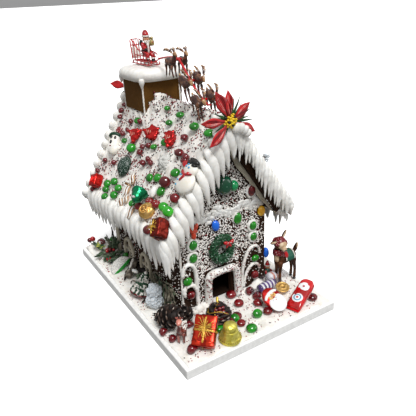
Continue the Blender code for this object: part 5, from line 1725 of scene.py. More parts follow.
def deer(x, y, z, turn, tip, stride):
    place = at(x, y, z, turn=turn, tip=tip)
    # legs hang from the body: their way down is turned back by the body's pitch
    down = Matrix.Rotation(math.radians(-tip), 3, "X") @ Vector((0, stride, -1))

    def limb(points, widths, slot=0, flat=1.0, shape="twig"):
        draw(bm, shape, points, widths, flat=flat, place=place, slot=slot)

    limb(
        [(0, 11, -1.0), (0, 4, 0.4), (0, -4, 0.6), (0, -10, 0.8)], (3.2, 5.2, 5.5, 5.0, 5.4, 3.8), 0, 1.1,
        "rod",
    )
    limb([(0, -7, 1.0), (0, -10, 6.5), (0, -10.6, 11.0)], (3.6, 3.2, 2.6, 2.4), 0, 1.1, "rod")
    limb([(0, -8.4, 12.0), (0, -12.4, 12.0), (0, -17.0, 9.4)], (2.4, 3.0, 2.4, 1.9, 1.2), 1, 1.0, "rod")
    limb([(0, 10.6, 0.5), (0, 13.5, 2.2), (0, 14.4, 1.2)], (1.4, 1.6, 0.9), 1)
    limb([(0, -8.4, -2.4), (0, -2, -3.6), (0, 5, -3.4)], (1.6, 2.6, 1.8), 1, 0.8)
    for side in (-1, 1):
        for hip, long, kick in (
            (Vector((side * 2.4, 8.6, -1)), 20.0, 1.5), (Vector((side * 2.4, -7.5, -1)), 19.0, -1.5),
        ):
            knee = hip + down * long * 0.45 + Vector((side * 0.4, -kick, 0))
            hoof = hip + down * long + Vector((0, kick, 0))
            limb([hip, knee, knee.lerp(hoof, 0.4), hoof], (2.5, 2.2, 1.4, 1.2, 1.2, 1.3))
        limb([(side * 1.8, -8.0, 13.0), (side * 4.4, -6.8, 14.6)], (0.9, 1.4, 0.5), 1, 0.6)
        beam = [
            (side * 1.4, -8.0, 13.4), (side * 3.0, -4.4, 15.2), (side * 4.6, 0.6, 16.0),
            (side * 5.4, 5.6, 16.6),
        ]
        limb(beam, (1.6, 1.7, 1.6, 1.1), 0)
        for k in range(6):  # tines: a fan swept back over the shoulders, every other one paler as a painted highlight
            y = -6 + 2.1 * k
            start = (side * (2.4 + 0.5 * k), y, 14.6 + 0.35 * k)
            end = (side * (4.4 + 0.5 * k + 1.2 * (k % 2)), y + 2.6, 18.8 if k % 2 else 17.4)
            if k == 5:
                end = (side * 5.8, y + 4.6, 14.8)
            limb([start, end], (1.5, 1.35, 0.8), k % 2)
    for _ in range(flecks):  # of icing, on its back and antlers
        spot = (rng.uniform(-3.0, 3.0), rng.uniform(-8, 9), rng.uniform(3.6, 4.8))
        if rng.random() < 0.6:
            spot = (rng.choice((-1, 1)) * rng.uniform(3, 6), rng.uniform(-5, 6), rng.uniform(15, 18))
        stamp(bm, "grain", place @ at(*spot) @ sized(1.0, 1.1, 0.8), 2)


team = (  # where each stands, how it is turned and tipped, and its stride
    (-11, 10, 348, 4, 4, -0.05), (-12, -26, 325, 4, 38, -0.25), (-12, -57, 304, 4, 38, -0.2),
    (11.5, 16, 347, -4, 4, -0.05), (12, -22, 327, -4, 38, -0.25), (12, -53, 307, -4, 38, -0.2),
)
for animal in team:
    deer(*animal)
finishPiece(
    "reindeerTeam", bm, ["mouldedBrown", "mouldedTanAndHighlight", "paintedFurWhite"],
    [f"reindeer_{hand}_{k}" for hand in ("left", "right") for k in (1, 2, 3)],
)

bm = bmesh.new()
shaft = [
    (5, 80, 345), (4, 52, 350), (2, 16, 353), (1, 6, 350), (0.6, -9, 338), (0.3, -20, 327), (0, -48, 307),
    (0, -66, 299.4),
]
draw(bm, "rope", shaft, [1.8] * 6, flat=0.8)
for y, z in ((10.5, 350.5), (-22, 325.0), (-53, 304.2)):
    draw(bm, "rod", [(-7.0, y, z), (0.4, y, z), (7.8, y, z)], (1.5, 2.2, 2.2, 2.2, 2.2, 1.5), (0, 0, 1), 0.7)
stamp(bm, "bead", at(0, -67.5, 299.8) @ sized(3.2, 4.0, 1.0))
finishPiece("teamHarness", bm, ["mouldedRed"], ["harness"])


# beside the house, on the left

foot = box["frosted_figure"][0].z
greens = {"dryFans": 150, "curls": 6, "spines": 18}


def raised(points):
    # heights in the tables below are from the snow
    return [(x, y, foot + z) for x, y, z in points]


def needles(bm, middle, reach, count, slot=0, rise=0.6, thick=0.45, droop=0.25):
    for _ in range(count):
        turn, up = rng.uniform(0, math.tau), rng.uniform(-0.1, rise)
        far = reach * rng.uniform(0.6, 1.0)
        heading = Vector((math.cos(turn) * math.cos(up), math.sin(turn) * math.cos(up), math.sin(up)))
        start = Vector(middle) + heading * far * 0.1
        bendDown = Vector((0, 0, -far * droop))
        draw(
            bm, "needle", [start, start + heading * far * 0.55, start + heading * far + bendDown],
            (thick, thick, thick * 0.8, 0.1), (0.3, 0.5, 1), slot=slot,
        )


def sprig(bm, start, heading, length, slot=0, thick=0.5, leafLength=6.0):
    start, heading = Vector(start), Vector(heading).normalized()
    across = heading.cross(Vector((0.1, 0.2, 1))).normalized()
    above = across.cross(heading)
    draw(
        bm, "twig", [start, start + heading * length * 0.5 + Vector((0, 0, 1)), start + heading * length],
        (thick, thick, thick * 0.6), across, slot=1,
    )
    steps = int(length / 0.9)
    for k in range(steps):
        spot = start + heading * (length * (k + 0.5) / steps)
        for _ in range(4):
            turn = rng.uniform(0, math.tau)
            out = (across * math.cos(turn) + above * abs(math.sin(turn)) * 0.8 + heading * 0.9).normalized()
            draw(
                bm, "needle", [spot, spot + out * leafLength * rng.uniform(0.7, 1.0)],
                (0.7, 0.95, 0.7, 0.15), heading, slot=slot,
            )


bm = bmesh.new()
mid = Vector((-96, 128, foot + 5))
part = bmesh.new()
bmesh.ops.create_icosphere(part, subdivisions=3, radius=1.0)
bmesh.ops.scale(part, vec=(11, 13, 6), verts=part.verts)
ruffle(part, 3.0, 5.0)
join(bm, part, at(-96, 128, foot + 4.5), 1)
for heading, length in (
    ((-0.9, -0.7, 0.15), 17), ((-0.5, -0.9, 0.1), 20), ((-0.2, -1, 0.2), 18), ((0.5, -0.9, 0.3), 15),
    ((-1, 0.1, 0.25), 14), ((0.4, 0.9, 0.5), 16), ((-0.6, 0.8, 0.3), 15), ((0.1, 0.3, 1.0), 12),
):
    sprig(bm, mid, heading, length)
sprig(bm, (-95, 106, foot + 4), (-0.7, -0.4, 0.15), 15)
sprig(bm, (-92, 108, foot + 5), (-0.5, -0.9, 0.1), 14)
for y in (18, -22, -66, -84):
    sprig(bm, (-80, y, foot + 4), (-0.5, rng.uniform(-1, 1), 0.2), 12)
for k in range(greens["dryFans"]):  # dry, grey-brown fans that lie against the wall by the corner
    spot = Vector(
        (
            rng.uniform(-80, -74), rng.choice((-12, -34, -52, -66)) + rng.gauss(0, 2),
            foot + rng.choice((30, 22, 12)) + rng.gauss(0, 2),
        )
    )
    heading = Vector((rng.uniform(-0.5, 0.1), rng.uniform(-1.0, -0.5), rng.uniform(-0.9, 0.25))).normalized()
    long = rng.uniform(12, 26)
    spots = [spot, spot + heading * long * 0.5 + Vector((0, 0, 1.0)), spot + heading * long]
    spots = [Vector((p.x, max(p.y, -96), max(p.z, foot + 1))) for p in spots]
    draw(bm, "needle", spots, (0.8, 1.3, 1.0, 0.2), flat=0.9, slot=(2, 2, 2, 0)[k % 4])
for (x, y, z), heading, length in (
    ((-88, 134, 8), (0.5, -0.5, 0.7), 20), ((-86, 122, 6), (0.2, -0.9, 0.3), 20),
    ((-84, 128, 8), (0.1, 0.2, 0.9), 22), ((-86, 140, 8), (-0.2, 0.6, 0.7), 20),
    ((-98, 132, 6), (-0.5, -0.9, -0.2), 22), ((-94, 122, 6), (-0.3, -1, -0.15), 22),
    ((-86, 116, 5), (-0.2, -1, 0.0), 20), ((-104, 136, 6), (-0.8, -0.5, 0.0), 16),
    ((-104, 148, 6), (-0.4, 0.7, 0.5), 16), ((-80, 8, 10), (-0.7, -0.3, -0.1), 16),
    ((-80, 30, 8), (-0.5, -0.8, 0.1), 16),
):
    sprig(bm, (x, y, foot + z), heading, length, 0, 0.8, 8.5)
for k in range(greens["curls"]):  # a twisted, weathered curl behind them
    turn = k * 1.1
    loop = [
        (-82 + k, 150 - 2 * k + 7 * math.cos(turn + t * 0.5), foot + 13 + 6 * math.sin(turn + t * 0.5))
        for t in range(8)
    ]
    draw(bm, "rod", loop, (1.2, 2.0, 1.8, 2.1, 1.2), (1, 0, 0), 0.9, 0.1, k, slot=2)
for k in range(greens["spines"]):  # sharp spines beside the first cone
    spot = Vector(
        (-110 + rng.uniform(-3, 2), -92 + rng.uniform(-7, 7), foot + 2 + 15 * (k / greens["spines"]))
    )
    tip = spot + Vector((-5.5, rng.uniform(-3, 3), rng.uniform(1, 4)))
    draw(bm, "needle", [spot, tip], (1.2, 1.1, 0.3), (0, 0, 1), 0.8, slot=3)
needles(bm, (-86, -80, foot + 3), 13, 36, 0, 1.0)
finishPiece(
    "pineSprigs", bm, ["snowyNeedle", "weatheredBark", "dryNeedle", "pineConeScale"],
    ["sprig_cluster"],
)

bm = bmesh.new()
for x, y, turn, length, slot in (
    (-103, 150, 200, 11, 0), (-103, 149, 140, 10, 0), (-102, 148, 260, 10, 0), (-104, 151, 100, 9, 0),
    (-101, 146, 310, 9, 0), (-100, 155, 170, 10, 0), (-104, 144, 240, 9, 0), (-105, 158, 80, 8, 0),
    (-99, 149, 120, 9, 1), (-105, 134, 220, 10, 1), (-98, 154, 80, 10, 1), (-90, 140, 20, 9, 1),
    (-92, 116, 250, 12, 1), (-86, 120, 300, 11, 1), (-81, 62, 250, 10, 1), (-84, 50, 200, 9, 1),
):
    place = at(x, y, foot + 11 if slot == 0 else foot + 8, turn=turn, roll=-24)
    draw(
        bm, "petal", [(0, 0, 0), (length * 0.5, 0, 1.5), (length, 0, 0)], (0.4, 2.0, 2.9, 2.2, 0.2),
        (0, 1, 0), 0.2, place=place, slot=slot,
    )
finishPiece("pickLeaves", bm, ["yellowGreenLeaf", "leafCloth"])

berries = [
    (-109, 172, 26, 4.8, 0), (-112, 181, 19, 4.6, 1), (-96, 160, 16, 3.2, 1), (-98, 127, 19, 3.0, 1),
    (-101, 124, 18, 2.8, 0), (-96, 122, 20, 3.0, 1), (-93, 128, 18, 2.6, 1), (-99, 131, 17, 2.4, 0),
    (-106, 112, 8, 2.6, 0), (-103, 109, 8, 2.5, 0), (-107, 107, 7, 2.3, 1), (-90, 121, 18, 2.4, 0),
    (-94, 133, 19, 2.3, 1), (-78, 45, 10, 3.6, 1), (-80, -30, 7, 4.0, 1),
]
bm = bmesh.new()
for x, y, z, size, slot in berries:
    stamp(bm, "ball", at(x, y, foot + z * 0.75) @ sized(size, size, size), slot)
    draw(
        bm, "twig",
        [(x, y, foot + z * 0.75 - size * 0.8), (x + 2, y - 1, foot + z * 0.3), (x + 3, y - 2, foot)],
        (0.45, 0.5, 0.5), slot=2,
    )
stamp(bm, "ball", at(-84, 139, foot + 26) @ sized(4.2, 4.2, 4.2), 3)
stamp(bm, "ball", at(-79, 94, foot + 12) @ sized(5.0, 5.0, 4.6), 3)
stamp(bm, "ball", at(-79, -14, foot + 6) @ sized(5.0, 6.6, 4.2), 3)
finishPiece("berryPick", bm, ["berryRed", "berryDarkRed", "weatheredBark", "sugarShellGreen"])

# the sugared slice: a bright rind under a frosted half round
jellySlice = {"wide": 19.6, "tall": 14.6, "thick": 8.6, "grains": 260}
slicePlace = at(-96.5, 74, foot + 4.5, turn=14, tip=52, roll=-25)
bm = bmesh.new()
wide, tall = jellySlice["wide"], jellySlice["tall"]
arc = [(wide * math.cos(math.pi * k / 18), tall * math.sin(math.pi * k / 18)) for k in range(19)]
part = sheetOf(arc, jellySlice["thick"], 1.4, 3)
bmesh.ops.triangulate(part, faces=[f for f in part.faces if len(f.verts) > 8])
bmesh.ops.subdivide_edges(part, edges=part.edges[:], cuts=1, use_grid_fill=True)
ruffle(part, 0.9, 3.0)
join(bm, part, slicePlace)
rind = [(-19.4, 0, 0), (-9, -1.0, 0.4), (0, -0.6, -0.3), (9, -1.0, 0.4), (19.4, 0, 0)]
draw(bm, "rope", rind, (3.6, 4.9, 4.6, 5.0, 4.6, 4.8, 3.4), (0, 1, 0), 0.9, 0.05, place=slicePlace, slot=1)
for _ in range(jellySlice["grains"]):
    turn, reach = rng.uniform(0.1, math.pi - 0.1), rng.uniform(0.1, 1.0) ** 0.5
    x, y = wide * reach * math.cos(turn), tall * reach * math.sin(turn)
    stamp(
        bm, "grain",
        slicePlace @ at(
            x, y, rng.choice((-4.3, 4.3, rng.uniform(-4.3, 4.3) if reach > 0.96 else 4.3)),
        ) @ sized(0.8, 0.8, 0.6),
        2,
    )
finishPiece(
    "fruitSlice", bm, ["frostedWhiteJelly", "sugaredSlice", "sugarPearlWhite"],
    ["fruit_slice"],
)

logPlace = Matrix.Translation(
    (-89, 45, foot + 15)
) @ Vector((-30, -22, -25)).to_track_quat("Z", "Y").to_matrix().to_4x4()
bm = bmesh.new()
part = spun(
    [(0, -17), (3.6, -17), (5.0, -16), (5.5, -8), (5.2, 0), (5.6, 8), (5.1, 16), (4.2, 17), (0, 17)], 20,
)
bmesh.ops.subdivide_edges(
    part, edges=[e for e in part.edges if abs(e.verts[0].co.z - e.verts[1].co.z) > 3], cuts=4,
    use_grid_fill=True,
)
ruffle(part, 1.8, 3.6)
join(bm, part, logPlace)
draw(
    bm, "rope", [(-78, 55, foot + 27), (-87, 48, foot + 20.4), (-97, 40, foot + 12)],
    (2.4, 4.2, 4.4, 3.6, 1.8), (0.5, 0.5, -0.4), 0.5, 0.1, slot=2,
)
for points, thick in (
    ([(-84, -4, 1), (-90, -12, 4), (-97, -18, 2)], 1.2),
    ([(-80, -55, 2), (-86, -66, 12), (-84, -78, 20)], 1.0),
    ([(-80, -60, 2), (-92, -72, 8), (-98, -84, 14)], 0.9),
    ([(-78, -70, 1), (-82, -84, 14), (-79, -93, 26)], 0.9),
    ([(-86, 132, 6), (-92, 140, 22), (-90, 150, 34)], 0.8),
    ([(-84, 126, 6), (-86, 138, 24), (-80, 146, 36)], 0.7),
    ([(-79, 96, 0), (-82, 88, 6), (-80, 70, 5)], 2.2), ([(-82, 12, 0), (-78, 26, 4), (-80, 40, 3)], 2.0),
    ([(-74, -98, 6), (-62, -104, 16), (-58, -112, 20)], 0.9),
    ([(-90, 20, 0), (-98, 28, 3), (-103, 22, 1)], 1.0),
):
    draw(
        bm, "rod", raised(points), [thick * w for w in (0.8, 1.1, 1.0, 0.9, 1.0, 0.5)], (1, 0.3, 0), 1.0,
        0.15, thick,
    )
for points, thick in (  # near-black rods drawn as branches: painted shade in the gaps between the pieces and along the wall's foot
    ([(-80, 66, 12), (-88, 52, 8), (-96, 40, 3)], 3.0), ([(-78, 44, 14), (-84, 26, 9), (-92, 6, 4)], 3.4),
    ([(-76, 20, 14), (-82, 4, 10), (-86, -14, 8)], 2.6),
    ([(-92, 62, 2), (-100, 46, 4), (-108, 36, 2)], 2.2),
    ([(-83, 130, 8), (-83, 133, 30), (-83, 137, 52)], 1.7),
    ([(-76, 84, 10), (-77, 50, 11), (-76, 6, 12)], 4.6),
    ([(-92, -20, 2), (-104, -34, 3), (-112, -36, 1)], 1.8),
):
    draw(
        bm, "rod", raised(points), [thick * w for w in (0.7, 1.1, 0.9, 1.1, 0.9, 0.4)], (1, 0.3, 0), 0.9,
        0.2, thick, slot=1,
    )
finishPiece("logTwigsAndGapShade", bm, ["weatheredBark", "pineConeScale", "paintedFurWhite"], ["log"])
bm = bmesh.new()
for points, fat in (
    ([(-80, 58, 15), (-87, 54, 13), (-92, 50, 2)], 3.6),
    ([(-78, -28, 18), (-84, -30, 14), (-86, -31, 0)], 3.4),
    ([(-94, 47, 12), (-90, 38, 13), (-85, 30, 11)], 3.2),
    ([(-80, 96, 10), (-84, 92, 8), (-88, 86, 1)], 3.0),
    ([(-113, 172, 1), (-108, 178, 4), (-100, 180, 2)], 3.2),
    ([(-104, 160, 1), (-100, 166, 9), (-98, 168, 14)], 2.6),
):
    draw(bm, "stroke", raised(points), [fat * w for w in (0.6, 1.0, 1.1, 1.0, 0.9, 0.5)], (0, 1, 0), 0.9)
finishPiece("groundPiping", bm, ["pipedRoyalIcing"])

# the little snowed-over tree on its base
tree = {"spot": (-104, -14), "lean": 24, "leaves": 230}
treePlace = at(*tree["spot"], foot + 3.5, roll=tree["lean"])
bm = bmesh.new()
part = spun(
    [
        (0, 37.6), (1.6, 35), (4.6, 28.6), (3.6, 28), (9, 21), (6.4, 20.6), (12.4, 12.4), (9.6, 12),
        (14.8, 4.4), (14.6, 2.6), (0, 2.4),
    ],
    22,
)
ruffle(part, 3.0, 3.6)
join(bm, part, treePlace)
for k in range(tree["leaves"]):
    high = rng.uniform(3, 33)
    reach = 15.0 * (1 - high / 38) + 0.4
    turn = rng.uniform(0, math.tau)
    a = Vector(onCircle(turn, reach * 0.85, high + 1.6))
    b = Vector(onCircle(turn + 0.1, reach + 2.2, high - 1.2))
    draw(
        bm, "needle", [a, b], (1.2, 2.5, 2.1, 0.5), (-math.sin(turn), math.cos(turn), 0), 0.6,
        place=treePlace, slot=2 if k % 3 == 0 else 1,
    )
part = spun([(0, 0.1), (14.6, 0.1), (15.8, 0.8), (15.8, 1.9), (14.8, 2.6), (0, 2.7)], 26)
join(bm, part, treePlace, 3)
finishPiece(
    "snowyTree", bm, ["paintedFurWhite", "sprinkledGreenSugar", "paintedFurWhite", "berryDarkRed"],
    ["snowy_tree"],
)

bm = bmesh.new()
frostedSet = {"spot": (-97, -54), "balls": ((11.6, 11.6, 2.0), (27.4, 9.6, 5.0)), "grains": 170}
frosted = at(*frostedSet["spot"], foot)
for z, size, seed in frostedSet["balls"]:  # how high, how big, and its roughness
    part = bmesh.new()
    bmesh.ops.create_icosphere(part, subdivisions=4, radius=size)
    ruffle(part, 1.6, 2.2, seed)
    join(bm, part, frosted @ at(0, 0, z))
    for _ in range(frostedSet["grains"]):  # coarse sugar, rolled on
        out = Vector((rng.gauss(0, 1), rng.gauss(0, 1), rng.gauss(0, 1))).normalized()
        spot = Vector((0, 0, z)) + out * size
        grit = rng.uniform(0.9, 2.6) if rng.random() < 0.5 else rng.uniform(0.8, 1.3)
        stamp(
            bm, f"lump{rng.randrange(3)}" if grit > 1.9 else "grain",
            frosted @ Matrix.Translation(spot) @ sized(grit, grit, grit),
        )
for x, y, z, size in ((-5.6, -6.0, 17.0, 4.2), (-9.4, 4.0, 12, 4.0), (4.0, -9.0, 12, 3.6)):
    stamp(bm, "ball", frosted @ at(x, y, z) @ sized(size, size, size))
for x, y, z in (
    (-3.0, -7.0, 30.2), (2.4, -7.4, 30.2), (-0.4, -8.2, 27.6), (-1.0, -10.6, 18), (-1.0, -11.2, 13),
):
    stamp(bm, "bead", frosted @ at(x, y, z) @ sized(0.9, 0.7, 0.9), 1)
finishPiece("frostedSnowman", bm, ["snowGlitter", "paintedBlack"], ["frosted_figure"])


# in front of the house


def pineCone(bm, place, wide, tall, rows, around, opened):
    # a woody core with rows of scales, each a pointed tongue with a pale lip (a pale tip and a painted
    # highlight), that open wider near the foot
    stamp(bm, "ball", place @ sized(wide * 0.26, wide * 0.26, tall * 0.4))
    for row in range(rows):
        share = (row + 0.5) / rows
        high = (share - 0.5) * tall * 0.86
        belly = math.sin(math.pi * min(1.0, 0.16 + 0.86 * share)) ** 0.7
        reach = wide / 2 * belly
        count = max(5, int(around * belly))
        for k in range(count):
            turn = (k + 0.5 * (row % 2)) / count * math.tau + rng.uniform(-0.16, 0.16)
            rise = (share - 0.28) * 1.1 * opened + rng.uniform(-0.25, 0.3)
            cos, sin = math.cos(turn), math.sin(turn)
            a = Vector((reach * 0.22 * cos, reach * 0.22 * sin, high - 1.0))
            b = Vector((reach * 0.7 * cos, reach * 0.7 * sin, high + rise * 3.0 - 0.6))
            c = Vector((reach * cos, reach * sin, high + rise * 7.5 + 1.2))
            across = (-sin, cos, 0)
            size = wide * 0.14 * (0.8 + 0.35 * belly) * rng.uniform(0.75, 1.15)
            draw(
                bm, "blade", [a, b, c], (0.6, size * 0.7, size, size * 1.08, size * 0.8), across, 0.3,
                place=place,
            )
            # the lip on the scale's upper edge: pale tip and painted highlight
            if rng.random() < 0.6:
                lip = [b.lerp(c, 0.86) + Vector((0, 0, 0.5)), c + Vector((0, 0, 0.4))]
                draw(
                    bm, "needle", lip, (0.4, size * 0.6, size * 0.75, size * 0.5), across, 0.3, place=place,
                    slot=1,
                )


cones = {  # width, height, rows, scales round the widest row, and how far they open
    "large": (34, 40, 6, 11, 1.0),
    "small": (25, 28, 5, 9, 1.0),
    "wired": (37, 30, 6, 12, 0.8),
}
bm = bmesh.new()
pineCone(bm, at(-102, -111, foot + 19.4, turn=30, tip=62), *cones["large"])
pineCone(bm, at(-78.5, -109, foot + 13.0, turn=-30, tip=30), *cones["small"])
finishPiece("pineCones", bm, ["pineConeScale", "paleConeTipAndHighlight"], ["pine_cone_1", "pine_cone_2"])
bm = bmesh.new()
thirdCone = at(-43, -140, foot + 15.6)
pineCone(bm, thirdCone, *cones["wired"])
draw(bm, "rod", [(-42, -136, 38), (-38, -130, 45), (-35.0, -126, 50)], (1.6, 2.0, 1.8, 2.1, 1.5), slot=2)
for x, y, z in (
    (-3, -8, 9), (2, -9, 8), (-1, -5, 12), (4, -5, 11), (-6, -4, 11), (1, -1, 13), (-8, -9, 5), (6, -10, 3),
    (0, -13, 4), (-4, -13, 2),
):
    stamp(bm, "ball", thirdCone @ at(x, y, z) @ sized(2.9, 2.7, 2.6), 3)
finishPiece(
    "wiredCone", bm, ["pineConeScale", "paleConeTipAndHighlight", "goldThread", "berryDarkRed"],
    ["pine_cone_3"],
)
for k, (tilt, radius) in enumerate(((18, 15.5), (-24, 16.4), (60, 15.0))):
    spin = thirdCone @ turned(tilt, "X") @ turned(20 * k, "Y")
    path = [onCircle(t * 0.62, radius, 2.5 + 2.4 * math.sin(t * 1.9 + k)) for t in range(11)]
    draw(threadPiece, "rope", path, [0.55] * 6, (0, 0, 1), place=spin)

bm = bmesh.new()
orangePlace = at(-80, -165, foot + 19.5, turn=-45, tip=41)
foilBox(bm, gifts["orange"], orangePlace, 9.0)
foilBox(bm, (29.6, 7.4, 14.6), orangePlace @ at(0, -16.4, 0.2), 7.0)
finishPiece("orangeGift", bm, ["crinkledOrangeRedFoil"], ["gift_orange"])
threads(threadPiece, orangePlace @ at(0, 4, 0), 17, 7.2, 24, 1.6, 0.42)
cordRound(threadPiece, orangePlace, (30.6, 40.6, 13.8), 0.6)
finishPiece("goldThreads", threadPiece, ["goldThread"])

bm = bmesh.new()
yellowBell = {"spot": (-49, -176), "turn": -25, "lean": 8, "ribs": 30}
yellowPlace = at(*yellowBell["spot"], foot + 1.4, yellowBell["turn"], yellowBell["lean"])
outline = [
    (0, 26.4), (4.6, 26.0), (7.8, 24.6), (9.2, 22.0), (9.6, 19.4), (9.2, 18.0), (8.6, 17.2), (9.2, 16.4),
    (10.2, 15.4), (11.0, 12.6), (11.6, 9.4), (12.4, 7.0), (13.6, 5.4), (14.8, 3.6), (15.4, 1.8),
    (15.0, 0.3), (0, 0),
]
part = spun(outline, 32)
ruffle(part, 0.7, 3.0)
join(bm, part, yellowPlace)
for k in range(yellowBell["ribs"]):  # the pressed rim: plain upright ribs, in the brown of painted shade
    turn = k / yellowBell["ribs"] * math.tau
    place = yellowPlace @ at(*onCircle(turn, 14.2, 4.4), turn=math.degrees(turn), roll=40)
    stamp(bm, "twig", place @ sized(0.55, 0.55, 1.7), 1)
finishPiece("yellowBell", bm, ["yellowFoil", "goldShadeAndBrown"], ["bell_yellow"])

# the toy deer, red with white spots
bm = bmesh.new()
toySet = {"spot": (-102, -142), "turn": -38, "size": (1.35, 1.1, 1.06), "backSpots": 46, "neckSpots": 20}
toy = at(*toySet["spot"], foot, toySet["turn"]) @ sized(*toySet["size"])
draw(
    bm, "stroke", [(0, 10, 18.6), (0, 3, 19.6), (0, -5, 19.4), (0, -9, 20.5)],
    (2.6, 4.2, 4.4, 4.0, 4.2, 3.4), flat=1.1, place=toy,
)
draw(
    bm, "rod", [(0, -6.5, 19), (0, -9.5, 27), (0, -11.0, 36)], (3.8, 3.3, 2.6, 2.2, 2.2), flat=1.1,
    place=toy,
)
draw(bm, "rod", [(0, -9.0, 37), (0, -13.0, 38), (0, -18.0, 36)], (2.2, 2.9, 2.6, 2.0, 1.2), place=toy, slot=1)
for side in (-1, 1):
    draw(
        bm, "twig", [(side * 1.6, -9.4, 39), (side * 3.8, -8.6, 41.6)], (0.9, 1.5, 0.6), (0, 1, 0), 0.6,
        place=toy,
    )
    draw(
        bm, "twig", [(side * 1.0, -10.4, 40), (side * 1.4, -10.6, 43.4)], (0.6, 0.7, 0.8), (0, 1, 0),
        place=toy,
    )
    for y in (-6.0, 6.4):
        path = [(side * 2.4, y, 17), (side * 2.7, y - 0.4, 9), (side * 2.5, y + 0.3, 0.4)]
        draw(bm, "rod", path, (2.3, 1.9, 1.3, 1.2, 1.4), place=toy)
for _ in range(toySet["backSpots"]):
    turn = rng.uniform(-0.4, math.pi + 0.4)
    place = at(4.4 * math.cos(turn), rng.uniform(-6, 9), 19.2 + 4.7 * math.sin(turn))
    stamp(bm, "grain", toy @ place @ sized(1.2, 1.3, 1.0), 2)
for _ in range(toySet["neckSpots"]):
    turn, share = rng.uniform(0, math.tau), rng.random()
    stamp(
        bm, "grain",
        toy @ at(
            2.9 * math.cos(turn), -7 - 4 * share + 2.4 * math.sin(turn), 22 + 13 * share,
        ) @ sized(0.9, 0.9, 1.0),
        2,
    )
finishPiece("toyDeer", bm, ["toyLightRed", "toyPink", "paintedFurWhite"], ["deer_small"])

# the moulded chocolate in printed foil: a plain bearded face, and a red hat
bm = bmesh.new()
facePlace = at(40, -157, foot + 14.6, turn=-14, tip=38) @ Matrix.Rotation(0.55, 4, "Z") @ Matrix.Scale(0.8, 4)
oval = [
    (0, -25), (5, -23.4), (9, -20), (12, -15.5), (14.6, -10), (16.4, -4), (17, 2), (16.4, 8), (14.6, 13.6),
    (11.6, 18.4), (7.6, 22.4), (3.6, 24.4), (0, 25),
]
oval += [(-x, y) for x, y in oval[-2:0:-1]]
part = sheetOf([(x * 0.985, y * 0.985) for x, y in oval], 7.0, 1.6, 3)
fineSheet(part, 2)
for vert in part.verts:
    if vert.co.z > 2:
        reach = math.hypot(vert.co.x / 17, vert.co.y / 25)
        vert.co.z += 3.2 * max(0.0, 1 - reach**2) + 0.35 * noise.noise(vert.co / 3.0)
join(bm, part, facePlace)


def onFace(x, y, lift=0.0):
    reach = math.hypot(x / 17, y / 25)
    return facePlace @ at(x, y, 3.5 + 3.2 * max(0.0, 1 - reach**2) + lift)


# 0 red foil, 1 white, 2 skin, 3 gold shade, 4 black, 5 berry red
locks = 34
for k in range(locks):  # a full beard
    share = k / (locks - 1)
    turn = -math.pi * (0.02 + 0.96 * share)
    a = onFace(5.4 * math.cos(turn), 2.5 + 5.0 * math.sin(turn), 0.2).translation
    b = onFace(11.0 * math.cos(turn), -2.0 + 12.0 * math.sin(turn), 0.5).translation
    c = onFace(14.6 * math.cos(turn), -2.0 + 21.4 * math.sin(turn), 0.0).translation
    draw(
        bm, "rod", [a, b, c], (1.0, 1.9, 2.3, 2.2, 1.4),
        facePlace.to_3x3() @ Vector((-math.sin(turn), math.cos(turn), 0)), 0.5, slot=1,
    )
stamp(bm, "smooth", onFace(0, -8, -2.4) @ sized(16.2, 17.0, 3.8), 1)
stamp(bm, "smooth", onFace(0, 6.0, -1.6) @ sized(8.6, 6.6, 3.0), 2)
stamp(bm, "ball", onFace(0, 3.4, 1.4) @ sized(1.7, 1.7, 1.5), 5)
for side in (-1, 1):
    stamp(bm, "bead", onFace(side * 3.2, 6.6, 1.0) @ sized(1.1, 0.9, 0.6), 4)
    draw(
        bm, "rod", [onFace(side * 1.4, 9.0, 1.0).translation, onFace(side * 5.0, 9.6, 0.8).translation],
        (0.5, 0.9, 0.9, 0.5), (0, 0, 1), 0.8, slot=1,
    )
    draw(
        bm, "rod",
        [
            onFace(side * 0.4, 1.0, 1.6).translation, onFace(side * 4.0, 0.2, 1.4).translation,
            onFace(side * 6.6, -2.4, 0.6).translation,
        ],
        (0.8, 1.5, 1.4, 0.6), (0, 0, 1), 0.8, slot=1,
    )
stamp(bm, "ball", onFace(0, -2.6, 1.4) @ sized(1.4, 0.8, 0.7), 5)
brim = [
    onFace(x, y, 0.4).translation
    for x, y in ((-14.4, 8.4), (-9.6, 12.0), (0, 13.6), (9.6, 12.0), (14.4, 8.4))
]
draw(
    bm, "rope", brim, (1.6, 2.3, 2.3, 2.4, 2.3, 2.3, 1.6), facePlace.to_3x3() @ Vector((0, 1, 0)), 0.8,
    0.06, slot=1,
)
finishPiece(
    "foilFace", bm,
    ["printedRedFoil", "printedWhite", "printedFaceGold", "goldShadeAndBrown", "paintedBlack", "berryRed"],
    ["chocolate_face"],
)

# the soft printed pack: a crimped end, and plain rings for a pattern
bm = bmesh.new()
pack = {"spot": (82, -168), "turn": -72, "lean": 25}
packPlace = at(*pack["spot"], foot + 13.5, pack["turn"], pack["lean"])
outline = [
    (-11, -26), (11, -26), (11.4, -10), (11.4, 10), (10, 20.6), (5.4, 25.4), (0, 26.2), (-5.4, 25.4),
    (-10, 20.6), (-11.4, 10), (-11.4, -10),
]
part = sheetOf(outline, 5.0, 1.8, 3)
fineSheet(part, 3)
for vert in part.verts:
    puff = max(0.0, 1 - (vert.co.x / 12) ** 4) * max(0.0, 1 - (vert.co.y / 26.5) ** 6)
    vert.co.z += math.copysign(3.2 * puff, vert.co.z) + 0.7 * noise.noise(vert.co / 5.0) * puff
join(bm, part, packPlace)
fin = bmesh.new()
bmesh.ops.create_grid(fin, x_segments=22, y_segments=3, size=1.0)
for vert in fin.verts:
    zig = 0.5 * math.sin(vert.co.x * 11 * math.pi)
    vert.co = Vector((vert.co.x * 10.8, -27.4 + vert.co.y * 1.8, zig))
bmesh.ops.solidify(fin, geom=fin.faces[:], thickness=0.3)
join(bm, fin, packPlace)
